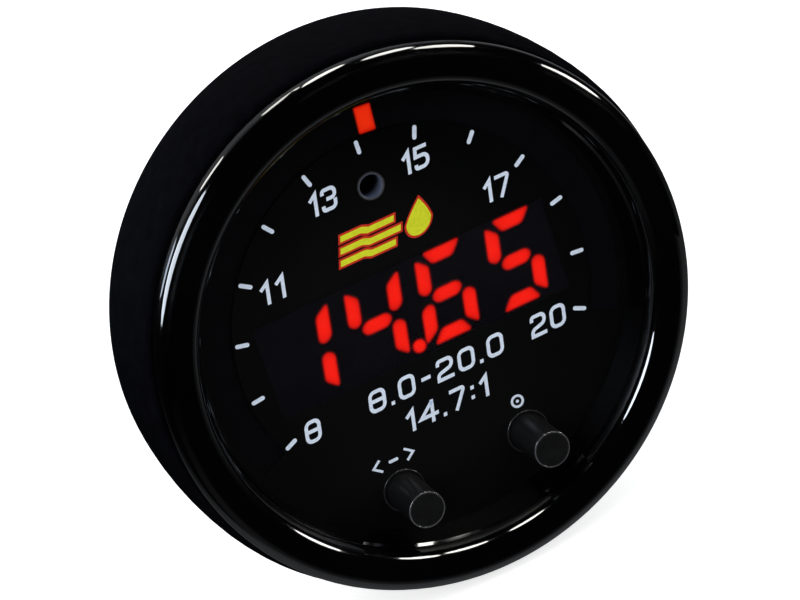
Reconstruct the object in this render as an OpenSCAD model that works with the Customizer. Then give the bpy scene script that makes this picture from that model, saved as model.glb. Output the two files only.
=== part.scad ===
// Slim round dash gauge that reads an engine's air fuel ratio: a four-digit
// readout, a ring of sweep bars and two push buttons in a 52 mm mounting.
// Millimetres, +Z up. The dial faces -Y, and the origin is on the gauge's axis
// in the shoulder plane that rests on the dash.
// Each piece is drawn lying down, its axis on z and its depths as heights over
// the shoulder plane, and face_out() stands it up. The whole gauge follows the
// cup's diameter.

/* [Mounting] */
// Diameter of the cup that goes through the dash
cup_d = 52; // [45:0.5:60]
// Thickness of the cup's wall
cup_wall = 1.5; // [1.2:0.1:1.8]
// Depth of the room between the control board and the cup's rear wall
rear_room = 2.7; // [2.2:0.1:6]
// Diameter of the mounting studs
stud_d = 4; // [3:0.5:5]
// Length of a stud behind the cup
stud_len = 18; // [10:1:25]
// Pitch of the studs' thread as a share of their diameter
thread_share = 0.175; // [0.15:0.005:0.25]
// Distance of each stud from the cup's edge
stud_inset = 7; // [6:0.1:8.2]

/* [Housing] */
// Width of the shoulder round the cup
shoulder_w = 3.95; // [3.3:0.05:5]
// How far the housing narrows from the shoulder to the seam
body_draft = 0.5; // [0.2:0.05:0.8]
// Length of the housing from the shoulder to the seam
body_len = 12.8; // [10.6:0.1:20]
// Thickness of the housing wall at the seam
body_wall = 1.35; // [1.1:0.05:1.6]
// Number of ribs inside the housing
rib_n = 12; // [6:1:18]
// Width of a rib
rib_w = 1.2; // [0.8:0.1:2]

/* [Bezel] */
// How far the bezel's side stands in from the housing at the seam
seam_step = 0.15; // [0.1:0.05:0.4]
// Width of the half-round of the bezel
bezel_w = 4.6; // [4:0.1:5.2]
// Straight side of the bezel between the seam and its rounding
bezel_side = 1.7; // [1.2:0.1:2.5]
// Depth of the dial under the inner edge of the bezel
dial_recess = 4.1; // [3.4:0.1:5]
// Taper of the bezel's inner wall down to the dial
wall_taper = 0.35; // [0.1:0.05:0.5]
// Number of webs in the hollow underside of the bezel
web_n = 12; // [6:1:24]

/* [Dial] */
// Thickness of the printed dial film
film_t = 0.15; // [0.1:0.05:0.4]
// Thickness of the smoked filter behind it
filter_t = 0.25; // [0.2:0.05:0.6]
// Gap between the ends of the readout window and the sweep ring
window_gap = 3; // [2.5:0.1:5]
// Border of the window over and under the digits
window_border = 0.4; // [0.2:0.05:0.8]
// Height of the readout's centre over the axis
readout_y = 0.1; // [-0.5:0.1:0.5]

/* [Readout] */
// Pitch of the digits as a share of the window's width
pitch_share = 0.243; // [0.23:0.001:0.244]
// Share of the pitch that a digit fills
digit_share = 0.755; // [0.65:0.005:0.76]
// Height of a digit over its width
digit_aspect = 1.605; // [1.4:0.005:1.65]
// Thickness of a segment as a share of the digit's width
bar_share = 0.23; // [0.16:0.005:0.235]
// Diameter of a decimal point as a share of the digit's width
point_share = 0.225; // [0.15:0.005:0.23]
// Slant of the digits in degrees
slant = 10; // [0:1:12]

/* [Sweep ring] */
// Number of sweep bars
sweep_n = 24; // [12:1:24]
// Angle from the first sweep bar to the last in degrees
sweep_angle = 220.1; // [180:0.1:221]
// Distance of the sweep bars from the bezel's foot
sweep_inset = 1.25; // [1:0.05:1.6]
// Length of a sweep bar
sweep_len = 2.85; // [2.4:0.05:3.3]
// Width of a sweep bar
sweep_w = 1.8; // [1.4:0.05:2.1]
// Place of the lit bar, from 0 at the left end to 1 at the right
sweep_reading = 0.52; // [0:0.01:0.99]

/* [Buttons] */
// Diameter of a button
button_d = 4; // [3.4:0.1:4.6]
// How far a button stands out from the dial
button_out = 6.6; // [4:0.1:8]
// Travel of a button
button_travel = 0.35; // [0.2:0.05:0.45]
// Distance of each button's centre from the bezel's foot
button_inset = 4.3; // [4:0.1:5]
// Angle of each button from the lowest point of the dial, in degrees
button_turn = 22.1; // [20:0.1:28]

/* [Light sensor] */
// Diameter of the sensor's sight hole
sight_d = 2.6; // [2:0.1:3]
// Distance of the sight hole's centre from the sweep ring
sight_inset = 5.5; // [4.5:0.1:6.4]

/* [Electronics] */
// Thickness of the circuit boards
board_t = 1.2; // [1:0.1:1.6]
// Gap between the two boards
board_gap = 3.4; // [2.8:0.1:4.5]
// Depth of the light box behind the dial
light_box_t = 5; // [4.2:0.1:6]
// Pitch of the contacts in the rear connectors
contact_pitch = 3; // [2.5:0.1:3.5]
// Length of a rear connector
connector_len = 6.2; // [5:0.1:8]

/* [Hidden] */
$fn = 96;
// Overrun of a cut past the faces that it opens, and sink of a rib into its wall
cut = 0.5;
sink = 0.4;
// Clearance between pieces that are put together
fit = 0.1;
// Clearance between a shaft and its bore
run = 0.07;
// Clearance of parts that are soldered or threaded into their holes
snug = 0.03;
// Clearance of parts that don't touch
gap = 0.3;

// The sizes are drawn for this cup, and the gauge is scaled to the one wanted
drawn_cup_d = 52;
scaling = cup_d / drawn_cup_d;

// Radii from the cup out to the bezel
cup_r = drawn_cup_d / 2;
body_r = cup_r + shoulder_w;
body_front_r = body_r - body_draft;
bezel_r = body_front_r - seam_step;
bore_r = body_front_r - body_wall;
round_r = bezel_w / 2;
round_c = bezel_r - round_r;
lip_edge = 0.25;
lip_r = round_c - round_r;
lip_inner_r = lip_r - lip_edge;
foot_r = lip_inner_r - wall_taper;

// Heights over the shoulder plane
gasket_t = 0.4;
lip_h = body_len + bezel_side;
dial_h = lip_h - dial_recess;
seat_h = dial_h + gasket_t;
filter_h = dial_h - film_t;
box_h = filter_h - filter_t;
board_h = box_h - light_box_t;
display_rear_h = board_h - board_t;
control_h = display_rear_h - board_gap;
control_rear_h = control_h - board_t;
cup_floor_h = control_rear_h - rear_room;
cup_rear_h = cup_floor_h - cup_wall;

// Housing bore, ledges and seam
body_edge = 0.6;
seam_edge = 0.2;
rim_share = 0.7;
rim_t = rim_share * light_box_t;
ledge_h = box_h - rim_t;
flange_t = 1.6;
rib_reach = 2.1;
rib_tip_r = bore_r - rib_reach;
key_w = 2;
key_reach = 0.9;

// Snap of the bezel's skirt in the housing, halfway along the skirt
skirt_r = bore_r - fit;
snap_h = (seat_h + body_len) / 2;
bead = 0.22;
bead_len = 0.6;
groove_depth = 0.3;
groove_len = 0.9;

// Hollow underside of the bezel
gasket_inset = 0.3;
hollow_wall = 1.4;
skirt_wall = 1.1;
hollow_r0 = foot_r + hollow_wall;
hollow_r1 = skirt_r - skirt_wall;
hollow_share = 0.2;
hollow_top = lip_h + hollow_share * round_r;
web_w = 1;
web_gap = 0.4;

// Dial film, filter and light box outlines
film_inset = 0.7;
film_r = bore_r - film_inset;
rim_r = bore_r - gap;
core_inset = 0.4;
core_r = rib_tip_r - core_inset;
board_inset = 0.8;
display_board_r = rib_tip_r - board_inset;
control_board_r = cup_r - cup_wall - gap;
collar_wall = 0.28;
hole_fit = 0.05;
fill_t = 1.2;

// Sweep ring and its window
sweep_r = foot_r - sweep_inset - sweep_len;
sweep_step = sweep_angle / (sweep_n - 1);
sweep_lit = floor(sweep_reading * sweep_n);
ring_border = 0.05;
ring_margin = 0.5;
ring_border_turn = 5.2;

// Readout window and digits
window_w = 2 * (sweep_r - window_gap);
window_corner = 0.3;
digit_n = 4;
digit_pitch = pitch_share * window_w;
digit_w = digit_share * digit_pitch;
digit_h = digit_aspect * digit_w;
bar_t = bar_share * digit_w;
point_d = point_share * digit_w;
window_h = digit_h + 2 * window_border;
half_w = digit_w / 2;
half_h = digit_h / 2;
point_gap_share = 0.81;
point_x = half_w + point_gap_share * bar_t;
point_y = point_d / 2 - half_h;

// Sight tube and light sensor
sight_y = sweep_r - sight_inset;
sight_r = sight_d / 2;
sight_collar_r = sight_r + collar_wall;
sensor_share = 0.6;
sensor_w = sensor_share * sight_d;
sensor_t = 0.8;

// Button, plunger, dome and switch, stacked on the display board
button_r = button_d / 2;
button_ring = foot_r - button_inset;
button_x = button_ring * sin(button_turn);
button_y = button_ring * cos(button_turn);
guide_r = button_r + run;
collar_r = guide_r + collar_wall;
button_edge = 0.3;
button_tip_h = dial_h + button_out;
switch_w = 6;
switch_floor_t = 0.3;
switch_cover_t = 0.3;
switch_well_r = 2.3;
stop_gap = 0.05;
dome_t = 0.12;
dome_left = 0.45;
dome_rise = button_travel + dome_left;
plunger_r = 1.7;
plunger_foot_r = 2.1;
plunger_foot_t = 0.45;
nib_r = 0.9;
nib_len = 1;
press_gap = 0.65;
flange_len = 0.8;
flange_reach = 0.7;
flange_r = button_r + flange_reach;
dome_h = board_h + switch_floor_t;
foot_h = dome_h + dome_rise;
switch_top_h = foot_h + plunger_foot_t + stop_gap;
switch_base_t = switch_top_h - board_h;
cover_top_h = switch_top_h + switch_cover_t;
button_foot_h = cover_top_h + button_travel + press_gap;
pocket_h = button_foot_h + flange_len + stop_gap;
pocket_w = switch_w + 2 * gap;

// Clamping screws with their posts and spacers
screw_turns = [49, 131, 270];
screw_inset = 11.2;
screw_ring = cup_r - screw_inset;
screw_r = 1.25;
screw_fit = 0.15;
screw_head_r = 2.25;
screw_head_t = 1.8;
head_sunk = 0.2;
post_r = 3;
spacer_r = 2.5;
pilot_share = 0.72;
pilot_len = pilot_share * light_box_t;
head_seat_h = cup_rear_h + head_sunk + screw_head_t;
recess_w = 0.6;
recess_len = 2.4;
recess_depth = 1;

// Link between the boards, and pegs that place the display board
link_n = 6;
link_pitch = 2;
link_w = 4;
link_y = -9;
link_len = link_n * link_pitch;
link_pin_r = 0.3;
solder_end = 0.6;
peg_r = 1;
peg_inset = 1.9;
peg_turn = 31;

// Rear connectors, side by side
contact_rows = 2;
sensor_cols = 3;
power_cols = 2;
contact_r = 0.5;
contact_end = 1;
shroud_wall = 0.9;
shroud_margin = 2.4;
shroud_floor = 1.2;
header_y = 2.3;
header_gap = 2.9;
latch_w = 3;
latch_t = 0.5;
latch_len = 1.2;
function shroud_size(n) = (n - 1) * contact_pitch + 2 * (shroud_margin + shroud_wall);
sensor_x = -(shroud_size(power_cols) + header_gap) / 2;
power_x = (shroud_size(sensor_cols) + header_gap) / 2;

// Studs
stud_r = stud_d / 2;
stud_x = cup_r - stud_inset;
stud_flange = 1.2;
stud_collar = 0.25;
stud_head_t = 1.6;
stud_edge = 0.4;
// Rings of the thread: flat crests and roots as shares of the pitch, and a
// plain length next to the cup
thread_pitch = thread_share * stud_d;
thread_depth_share = 0.6;
crest_share = 0.125;
root_share = 0.25;
flank_share = (1 - crest_share - root_share) / 2;
thread_plain = 1.2;
thread_n = floor((stud_len - stud_edge - thread_plain) / thread_pitch);
root_r = stud_r - thread_depth_share * thread_pitch;
function thread_ring(i) = let (h = stud_edge + i * thread_pitch) [
    [stud_r, h + crest_share * thread_pitch],
    [root_r, h + (crest_share + flank_share) * thread_pitch],
    [root_r, h + (1 - flank_share) * thread_pitch],
    [stud_r, h + thread_pitch]];

// Surface-mounted chips: light chips, then the packages on the boards. A
// package is its width, depth, height, leads on a side and reach of a lead,
// and its place is a share of the control board's radius.
led_len = 1.6;
led_w = 0.8;
led_t = 0.6;
lead_t = 0.2;
lead_share = 0.5;
driver_size = [9, 5, 1.5];
driver_reach = 0.8;
driver_leads = 10;
mcu_size = [7, 7, 1.3];
mcu_reach = 1;
mcu_leads = 8;
mcu_place_share = [-0.504, -0.339];
asic_size = [10.2, 7.4, 2.2];
asic_reach = 1.2;
asic_leads = 12;
asic_place_share = [0.545, -0.298];
regulator_size = [6.5, 6, 2.2];
regulator_reach = 2.4;
regulator_tab = 1;
regulator_leg_w = 0.8;
regulator_leg_pitch = 2.3;
regulator_place_share = [0, 0.537];
choke_w = 6;
choke_edge = 1.5;
choke_place_share = [0.69, 0.273];
tall_share = 0.88;
can_d = 5;
can_foot = 0.5;
can_place_shares = [[-0.702, 0.253], [-0.745, -0.014]];
crystal_size = [5, 3.2, 1];
crystal_place_share = [-0.298, -0.636];
passive_n = 7;
passive_step = 8;
passive_turns = [-70, 65];
passive_ring_share = 0.88;

// Outlines of the seven segments, a to g, as shares: x is half the digit's
// width less a share of the segment's thickness, and y half its height less
// such a share, or a share alone at the inner end of an upright segment.
across_shares = [[-1, 0.69, 0], [1, 0.69, 0], [1, 1.35, 1], [-1, 1.35, 1]];
upright_shares = [[0, 0.49], [0.17, 0.44], [1, 1.08]];
upright_foot_shares = [[1, 0.59], [0.54, 0.34], [0, 0.72]];
middle_tip_share = 0.94;
middle_flat_share = 1.33;

function across(up) = [for (p = across_shares)
    [p[0] * (half_w - p[1] * bar_t), up * (half_h - p[2] * bar_t)]];
function upright(side, up) = concat(
    [for (p = upright_shares) [side * (half_w - p[0] * bar_t), up * (half_h - p[1] * bar_t)]],
    [for (p = upright_foot_shares) [side * (half_w - p[0] * bar_t), up * p[1] * bar_t]]);
function middle() = let (tip = half_w - middle_tip_share * bar_t, flat = half_w - middle_flat_share * bar_t)
    [[-tip, 0], [-flat, bar_t / 2], [flat, bar_t / 2], [tip, 0], [flat, -bar_t / 2], [-flat, -bar_t / 2]];
function segment_outline(k) =
    k == 0 ? across(1) : k == 1 ? upright(1, 1) : k == 2 ? upright(1, -1) :
    k == 3 ? across(-1) : k == 4 ? upright(-1, -1) : k == 5 ? upright(-1, 1) : middle();

// Each corner of an outline is cut back and bent round, then the digit leans
soft_share = 0.3;
soft_steps = 3;
function unit(v) = v / norm(v);
function softened(points, back) = let (n = len(points)) [
    for (i = [0 : n - 1])
    let (p = points[i], a = points[(i + n - 1) % n], b = points[(i + 1) % n],
         from = p + unit(a - p) * min(back, norm(a - p) / 2),
         to = p + unit(b - p) * min(back, norm(b - p) / 2))
    for (s = [0 : soft_steps])
    let (t = s / soft_steps)
    (1 - t) * (1 - t) * from + 2 * t * (1 - t) * p + t * t * to];
function leaned(points) = [for (p = points) [p[0] + p[1] * tan(slant), p[1]]];
function mean(points) = [for (p = points) 1 / len(points)] * points;
function digit_x(d) = (d - (digit_n - 1) / 2) * digit_pitch;

// Segments that are lit in each digit: a to g, then the decimal point
point_k = 7;
lit = [
    [0, 1, 1, 0, 0, 0, 0, 0],
    [0, 1, 1, 0, 0, 1, 1, 1],
    [1, 0, 1, 1, 1, 1, 1, 0],
    [1, 0, 1, 1, 0, 1, 1, 0]
];

module face_out() { scale(scaling) rotate([90, 0, 0]) children(); }

module tube(r_out, r_in, h) {
    difference() {
        cylinder(r = r_out, h = h);
        translate([0, 0, -cut]) cylinder(r = r_in, h = h + 2 * cut);
    }
}

// A block centred in x and y that stands on z = 0
module block(w, d, h) { translate([-w / 2, -d / 2, 0]) cube([w, d, h]); }

// One segment of one digit as a solid, or the decimal point as number 7
module segment(d, k, h) {
    translate([digit_x(d), readout_y, 0]) {
        if (k == point_k) {
            translate([point_x + point_y * tan(slant), point_y, 0]) cylinder(d = point_d, h = h, $fn = 32);
        } else {
            linear_extrude(height = h)
                polygon(leaned(softened(segment_outline(k), soft_share * bar_t)));
        }
    }
}

// Places of the sweep bars, the first at the left end
module at_sweep(i) {
    rotate([0, 0, -(i - (sweep_n - 1) / 2) * sweep_step]) translate([0, sweep_r, 0]) children();
}

module sweep_bar(h) { translate([-sweep_w / 2, 0, 0]) cube([sweep_w, sweep_len, h]); }

module at_screws() {
    for (turn = screw_turns) rotate([0, 0, turn]) translate([screw_ring, 0, 0]) children();
}

module at_pegs() {
    for (turn = [-peg_turn, 180 + peg_turn])
        rotate([0, 0, turn]) translate([display_board_r - peg_inset, 0, 0]) children();
}

module at_link_pins() {
    for (i = [0 : link_n - 1], j = [0, 1])
        translate([(i - (link_n - 1) / 2) * link_pitch, link_y + (j - 0.5) * link_pitch, 0]) children();
}

module at_contacts(cols) {
    for (i = [0 : cols - 1], j = [0 : contact_rows - 1])
        translate([(i - (cols - 1) / 2) * contact_pitch, (j - (contact_rows - 1) / 2) * contact_pitch, 0])
            children();
}

// Moulded shell that runs from the shoulder to the bezel, with ribs whose ends
// carry the light box in front and the rear cup behind
module housing() {
    color("#17181a") face_out() {
        rotate_extrude() {
            polygon([
                [bore_r, 0], [body_r - body_edge, 0], [body_r, body_edge],
                [body_front_r, body_len - seam_edge], [body_front_r - seam_edge, body_len],
                [bore_r, body_len],
                [bore_r, snap_h + groove_len / 2], [bore_r + groove_depth, snap_h + groove_len / 4],
                [bore_r + groove_depth, snap_h - groove_len / 4], [bore_r, snap_h - groove_len / 2]
            ]);
            translate([body_r - body_edge, body_edge]) circle(r = body_edge);
        }
        for (i = [0 : rib_n - 1]) rotate([0, 0, i * 360 / rib_n])
            translate([rib_tip_r, -rib_w / 2, flange_t])
                cube([rib_reach + sink, rib_w, ledge_h - flange_t]);
        translate([-key_w / 2, -bore_r - sink, ledge_h])
            cube([key_w, key_reach + sink, filter_h - ledge_h]);
    }
}

// Glossy half-round trim ring. Its skirt snaps into the housing, and its
// underside is hollow with thin webs.
module bezel() {
    color("#08080a") face_out() {
        difference() {
            rotate_extrude() {
                intersection() {
                    translate([round_c, lip_h]) circle(r = round_r);
                    translate([lip_r, lip_h]) square([bezel_w, round_r]);
                }
                polygon([
                    [foot_r, seat_h], [lip_inner_r, lip_h - lip_edge], [lip_r, lip_h],
                    [bezel_r, lip_h], [bezel_r, body_len + seam_edge], [bezel_r - seam_edge, body_len],
                    [skirt_r, body_len], [skirt_r, snap_h + bead_len / 2], [skirt_r + bead, snap_h],
                    [skirt_r, snap_h - bead_len / 2], [skirt_r, seat_h]
                ]);
            }
            translate([0, 0, seat_h - cut]) tube(hollow_r1, hollow_r0, hollow_top - seat_h + cut);
        }
        for (i = [0 : web_n - 1]) rotate([0, 0, (i + 0.5) * 360 / web_n])
            translate([hollow_r0 - sink, -web_w / 2, seat_h + web_gap])
                cube([hollow_r1 - hollow_r0 + 2 * sink, web_w, hollow_top - seat_h - web_gap + sink]);
    }
}

// Rubber ring that the bezel presses on the dial's edge
module face_gasket() {
    color("#1b1b1c") face_out() translate([0, 0, dial_h]) 
        tube(film_r - fit, foot_r + gasket_inset, gasket_t);
}

module key_notch(h) {
    translate([-key_w / 2 - fit, -bore_r - cut, -cut])
        cube([key_w + 2 * fit, key_reach + fit + cut, h + 2 * cut]);
}

// Holes that the film and the filter share: two buttons and the sight hole
module face_holes(h) {
    for (side = [-1, 1]) translate([side * button_x, -button_y, -cut])
        cylinder(r = collar_r + hole_fit, h = h + 2 * cut);
    translate([0, sight_y, -cut]) cylinder(r = sight_collar_r + hole_fit, h = h + 2 * cut);
    key_notch(h);
}

// Printed film, left clear over the readout and the sweep ring
module dial_film() {
    color("#0b0b0d") face_out() translate([0, 0, filter_h]) difference() {
        cylinder(r = film_r, h = film_t);
        face_holes(film_t);
        translate([0, readout_y, -cut]) linear_extrude(height = film_t + 2 * cut)
            polygon(softened([[-window_w / 2, -window_h / 2], [window_w / 2, -window_h / 2],
                [window_w / 2, window_h / 2], [-window_w / 2, window_h / 2]], window_corner));
        span = sweep_angle + 2 * ring_border_turn;
        translate([0, 0, -cut]) rotate([0, 0, 90 - span / 2])
            rotate_extrude(angle = span) translate([sweep_r - ring_border, 0])
                square([sweep_len + ring_border + ring_margin, film_t + 2 * cut]);
    }
}

// Smoked sheet behind the film that darkens whatever isn't lit
module smoked_filter() {
    color("#1d1c22") face_out() translate([0, 0, box_h]) difference() {
        cylinder(r = film_r, h = filter_t);
        face_holes(filter_t);
    }
}

// Moulded light box: a well for every segment and sweep bar, guides for the
// buttons, a sight tube for the sensor and pockets for the switches
module light_box() {
    color("#2c2c2f") face_out() difference() {
        union() {
            translate([0, 0, ledge_h]) cylinder(r = rim_r, h = rim_t);
            translate([0, 0, board_h]) cylinder(r = core_r, h = light_box_t);
            for (side = [-1, 1]) translate([side * button_x, -button_y, box_h - sink])
                cylinder(r = collar_r, h = dial_h - box_h + sink);
            translate([0, sight_y, box_h - sink]) cylinder(r = sight_collar_r, h = dial_h - box_h + sink);
            at_pegs() translate([0, 0, board_h - board_t]) cylinder(r = peg_r, h = board_t + sink);
        }
        translate([0, 0, board_h - cut]) {
            for (d = [0 : digit_n - 1], k = [0 : point_k]) segment(d, k, light_box_t + 2 * cut);
            for (i = [0 : sweep_n - 1]) at_sweep(i) sweep_bar(light_box_t + 2 * cut);
            translate([0, sight_y, 0]) cylinder(r = sight_r, h = dial_h - board_h + 2 * cut);
            for (side = [-1, 1]) translate([side * button_x, -button_y, 0]) {
                cylinder(r = guide_r, h = dial_h - board_h + 2 * cut);
                block(pocket_w, pocket_w, pocket_h - board_h + cut);
            }
            at_screws() cylinder(r = screw_r + snug, h = pilot_len + cut);
            translate([0, link_y, 0]) block(link_len + 2 * gap, link_w + 2 * gap, 2 * solder_end + cut);
        }
        translate([0, 0, ledge_h]) key_notch(rim_t);
    }
}

// Cast diffusers that fill the fronts of the wells
module segments_lit() {
    color("#ff2a10") face_out() translate([0, 0, box_h - fill_t])
        for (d = [0 : digit_n - 1], k = [0 : point_k]) if (lit[d][k] == 1) segment(d, k, fill_t);
}

module segments_dark() {
    color("#201a1c") face_out() translate([0, 0, box_h - fill_t])
        for (d = [0 : digit_n - 1], k = [0 : point_k]) if (lit[d][k] == 0) segment(d, k, fill_t);
}

module sweep_bar_lit() {
    color("#ff3c12") face_out() translate([0, 0, box_h - fill_t]) at_sweep(sweep_lit) sweep_bar(fill_t);
}

module sweep_bars_dark() {
    color("#201a1c") face_out() translate([0, 0, box_h - fill_t])
        for (i = [0 : sweep_n - 1]) if (i != sweep_lit) at_sweep(i) sweep_bar(fill_t);
}

module display_board() {
    color("#0f3d22") face_out() translate([0, 0, display_rear_h]) difference() {
        cylinder(r = display_board_r, h = board_t);
        translate([0, 0, -cut]) {
            at_screws() cylinder(r = screw_r + screw_fit, h = board_t + 2 * cut);
            at_pegs() cylinder(r = peg_r + fit, h = board_t + 2 * cut);
            at_link_pins() cylinder(r = link_pin_r + snug, h = board_t + 2 * cut, $fn = 24);
        }
    }
}

// Surface-mounted light chip under a well
module led_chip() { block(led_w, led_len, led_t); }

module segment_leds() {
    color("#e8e2c8") face_out() translate([0, 0, board_h])
        for (d = [0 : digit_n - 1], k = [0 : point_k]) {
            centre = k == point_k ? [point_x, point_y] : mean(segment_outline(k));
            turn = k == 0 || k == 3 || k == 6 ? 90 : -slant;
            smaller = k == point_k ? point_d / 2 / led_len : 1;
            translate([digit_x(d) + centre[0] + centre[1] * tan(slant), readout_y + centre[1], 0])
                rotate([0, 0, turn]) scale(smaller) led_chip();
        }
}

module sweep_leds() {
    color("#e8e2c8") face_out() translate([0, 0, board_h])
        for (i = [0 : sweep_n - 1]) at_sweep(i) translate([0, sweep_len / 2, 0]) led_chip();
}

module light_sensor() {
    color("#3a3d44") face_out() translate([0, sight_y, board_h]) block(sensor_w, sensor_w, sensor_t);
}

// Small outline package: a body between two rows of bent leads
module lead_package(size, reach, leads) {
    step = size[0] / leads;
    translate([0, 0, lead_t / 2]) block(size[0], size[1], size[2]);
    for (side = [-1, 1], i = [0 : leads - 1])
        translate([(i - (leads - 1) / 2) * step, side * (size[1] + reach) / 2, 0]) {
            block(lead_share * step, reach, lead_t);
            translate([0, side * (lead_t - reach) / 2, 0]) block(lead_share * step, lead_t, size[2] / 2);
        }
}

// Puts a chip on the control board at a share of the board's radius
module on_board(place_share) {
    translate([place_share[0] * control_board_r, place_share[1] * control_board_r, control_h]) children();
}

module led_drivers() {
    color("#222326") face_out() for (x = [sensor_x, power_x])
        translate([x, header_y, display_rear_h]) rotate([180, 0, 0])
            lead_package(driver_size, driver_reach, driver_leads);
}

// Button: a long cap with a flange that stops behind the light box and a
// socket that sits on the plunger's nib
module button(side) {
    face_out() translate([side * button_x, -button_y, 0]) difference() {
        rotate_extrude() {
            translate([0, button_foot_h]) square([button_r, button_tip_h - button_foot_h - button_edge]);
            translate([0, button_foot_h]) square([flange_r, flange_len]);
            translate([0, button_tip_h - cut]) square([button_r - button_edge, cut]);
            intersection() {
                translate([button_r - button_edge, button_tip_h - button_edge]) circle(r = button_edge);
                translate([0, button_tip_h - button_edge]) square([button_r, button_edge]);
            }
        }
        translate([0, 0, button_foot_h - cut]) cylinder(r = nib_r + snug, h = nib_len + snug + cut);
    }
}

module plunger(side) {
    face_out() translate([side * button_x, -button_y, 0]) {
        translate([0, 0, foot_h]) cylinder(r = plunger_foot_r, h = plunger_foot_t);
        translate([0, 0, foot_h]) cylinder(r = plunger_r, h = button_foot_h - foot_h);
        translate([0, 0, foot_h]) cylinder(r = nib_r, h = button_foot_h - foot_h + nib_len);
    }
}

// Snap dome under the plunger, a shallow cone with its centre raised
module dome(side) {
    face_out() translate([side * button_x, -button_y, dome_h]) rotate_extrude() polygon([
        [0, dome_rise - dome_t], [switch_well_r / 2, dome_rise - dome_t], [switch_well_r - fit, 0],
        [switch_well_r - fit, dome_t], [switch_well_r / 2, dome_rise], [0, dome_rise]]);
}

module switch_base(side) {
    face_out() translate([side * button_x, -button_y, board_h]) difference() {
        block(switch_w, switch_w, switch_base_t);
        translate([0, 0, switch_floor_t]) cylinder(r = switch_well_r, h = switch_base_t);
    }
}

module switch_cover(side) {
    face_out() translate([side * button_x, -button_y, switch_top_h]) difference() {
        block(switch_w, switch_w, switch_cover_t);
        translate([0, 0, -cut]) cylinder(r = plunger_r + run, h = switch_cover_t + 2 * cut);
    }
}

module mode_button() { color("#111112") button(-1); }
module mode_plunger() { color("#d8d8d2") plunger(-1); }
module mode_dome() { color("#c9c9cc") dome(-1); }
module mode_switch_base() { color("#1d1d1f") switch_base(-1); }
module mode_switch_cover() { color("#b8babd") switch_cover(-1); }
module select_button() { color("#111112") button(1); }
module select_plunger() { color("#d8d8d2") plunger(1); }
module select_dome() { color("#c9c9cc") dome(1); }
module select_switch_base() { color("#1d1d1f") switch_base(1); }
module select_switch_cover() { color("#b8babd") switch_cover(1); }

// Header that links the boards, and the pins through both
module link_header() {
    color("#19191b") face_out() translate([0, 0, control_h]) difference() {
        translate([0, link_y, 0]) block(link_len, link_w, board_gap);
        translate([0, 0, -cut]) at_link_pins()
            cylinder(r = link_pin_r + snug, h = board_gap + 2 * cut, $fn = 24);
    }
}

module link_pins() {
    color("#d9b95a") face_out() translate([0, 0, control_rear_h - solder_end]) at_link_pins()
        cylinder(r = link_pin_r, h = board_gap + 2 * board_t + 2 * solder_end, $fn = 24);
}

module spacers() {
    color("#e6e6e0") face_out() translate([0, 0, control_h]) at_screws()
        tube(spacer_r, screw_r + screw_fit, board_gap);
}

module control_board() {
    color("#0f3d22") face_out() translate([0, 0, control_rear_h]) difference() {
        cylinder(r = control_board_r, h = board_t);
        translate([0, 0, -cut]) {
            at_screws() cylinder(r = screw_r + screw_fit, h = board_t + 2 * cut);
            at_link_pins() cylinder(r = link_pin_r + snug, h = board_t + 2 * cut, $fn = 24);
            translate([sensor_x, header_y, 0]) at_contacts(sensor_cols)
                cylinder(r = contact_r + snug, h = board_t + 2 * cut, $fn = 24);
            translate([power_x, header_y, 0]) at_contacts(power_cols)
                cylinder(r = contact_r + snug, h = board_t + 2 * cut, $fn = 24);
        }
    }
}

module microcontroller() {
    color("#202124") face_out() on_board(mcu_place_share) for (turn = [0, 90])
        rotate([0, 0, turn]) lead_package(mcu_size, mcu_reach, mcu_leads);
}

module sensor_driver() {
    color("#202124") face_out() on_board(asic_place_share) rotate([0, 0, 90])
        lead_package(asic_size, asic_reach, asic_leads);
}

// Regulator with a tab on one side and two legs on the other
module regulator() {
    color("#26272a") face_out() on_board(regulator_place_share) {
        block(regulator_size[0], regulator_size[1], regulator_size[2]);
        translate([0, (regulator_size[1] + regulator_tab) / 2, 0])
            block(regulator_size[0] - regulator_tab, regulator_tab, regulator_leg_w);
        for (side = [-1, 1])
            translate([side * regulator_leg_pitch, -(regulator_size[1] + regulator_reach) / 2, 0])
                block(regulator_leg_w, regulator_reach, regulator_leg_w);
    }
}

// Square choke with its corners cut off
module power_inductor() {
    far = choke_w / 2;
    near = far - choke_edge;
    color("#3b3b3e") face_out() on_board(choke_place_share)
        linear_extrude(height = tall_share * board_gap) polygon([
            [far, -near], [far, near], [near, far], [-near, far],
            [-far, near], [-far, -near], [-near, -far], [near, -far]]);
}

module filter_capacitors() {
    color("#a9abad") face_out() for (place_share = can_place_shares) on_board(place_share) {
        block(can_d, can_d, can_foot);
        cylinder(d = can_d, h = tall_share * board_gap, $fn = 48);
    }
}

module crystal() {
    color("#c4c6c8") face_out() on_board(crystal_place_share)
        block(crystal_size[0], crystal_size[1], crystal_size[2]);
}

// Small resistors and capacitors in two arcs on the control board
module passives() {
    color("#8d7c62") face_out() for (start = passive_turns, i = [0 : passive_n - 1])
        rotate([0, 0, start + (i - (passive_n - 1) / 2) * passive_step])
            on_board([passive_ring_share, 0]) led_chip();
}

// Shrouded header: an open box round its contacts, with a latch ramp on top
module shroud(cols) {
    w = shroud_size(cols);
    d = shroud_size(contact_rows);
    difference() {
        union() {
            block(w, d, connector_len);
            translate([-latch_w / 2, d / 2, connector_len - latch_len]) cube([latch_w, latch_t, latch_len]);
        }
        translate([0, 0, shroud_floor])
            block(w - 2 * shroud_wall, d - 2 * shroud_wall, connector_len);
        translate([0, 0, -cut]) at_contacts(cols)
            cylinder(r = contact_r + snug, h = shroud_floor + 2 * cut, $fn = 24);
    }
}

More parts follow.
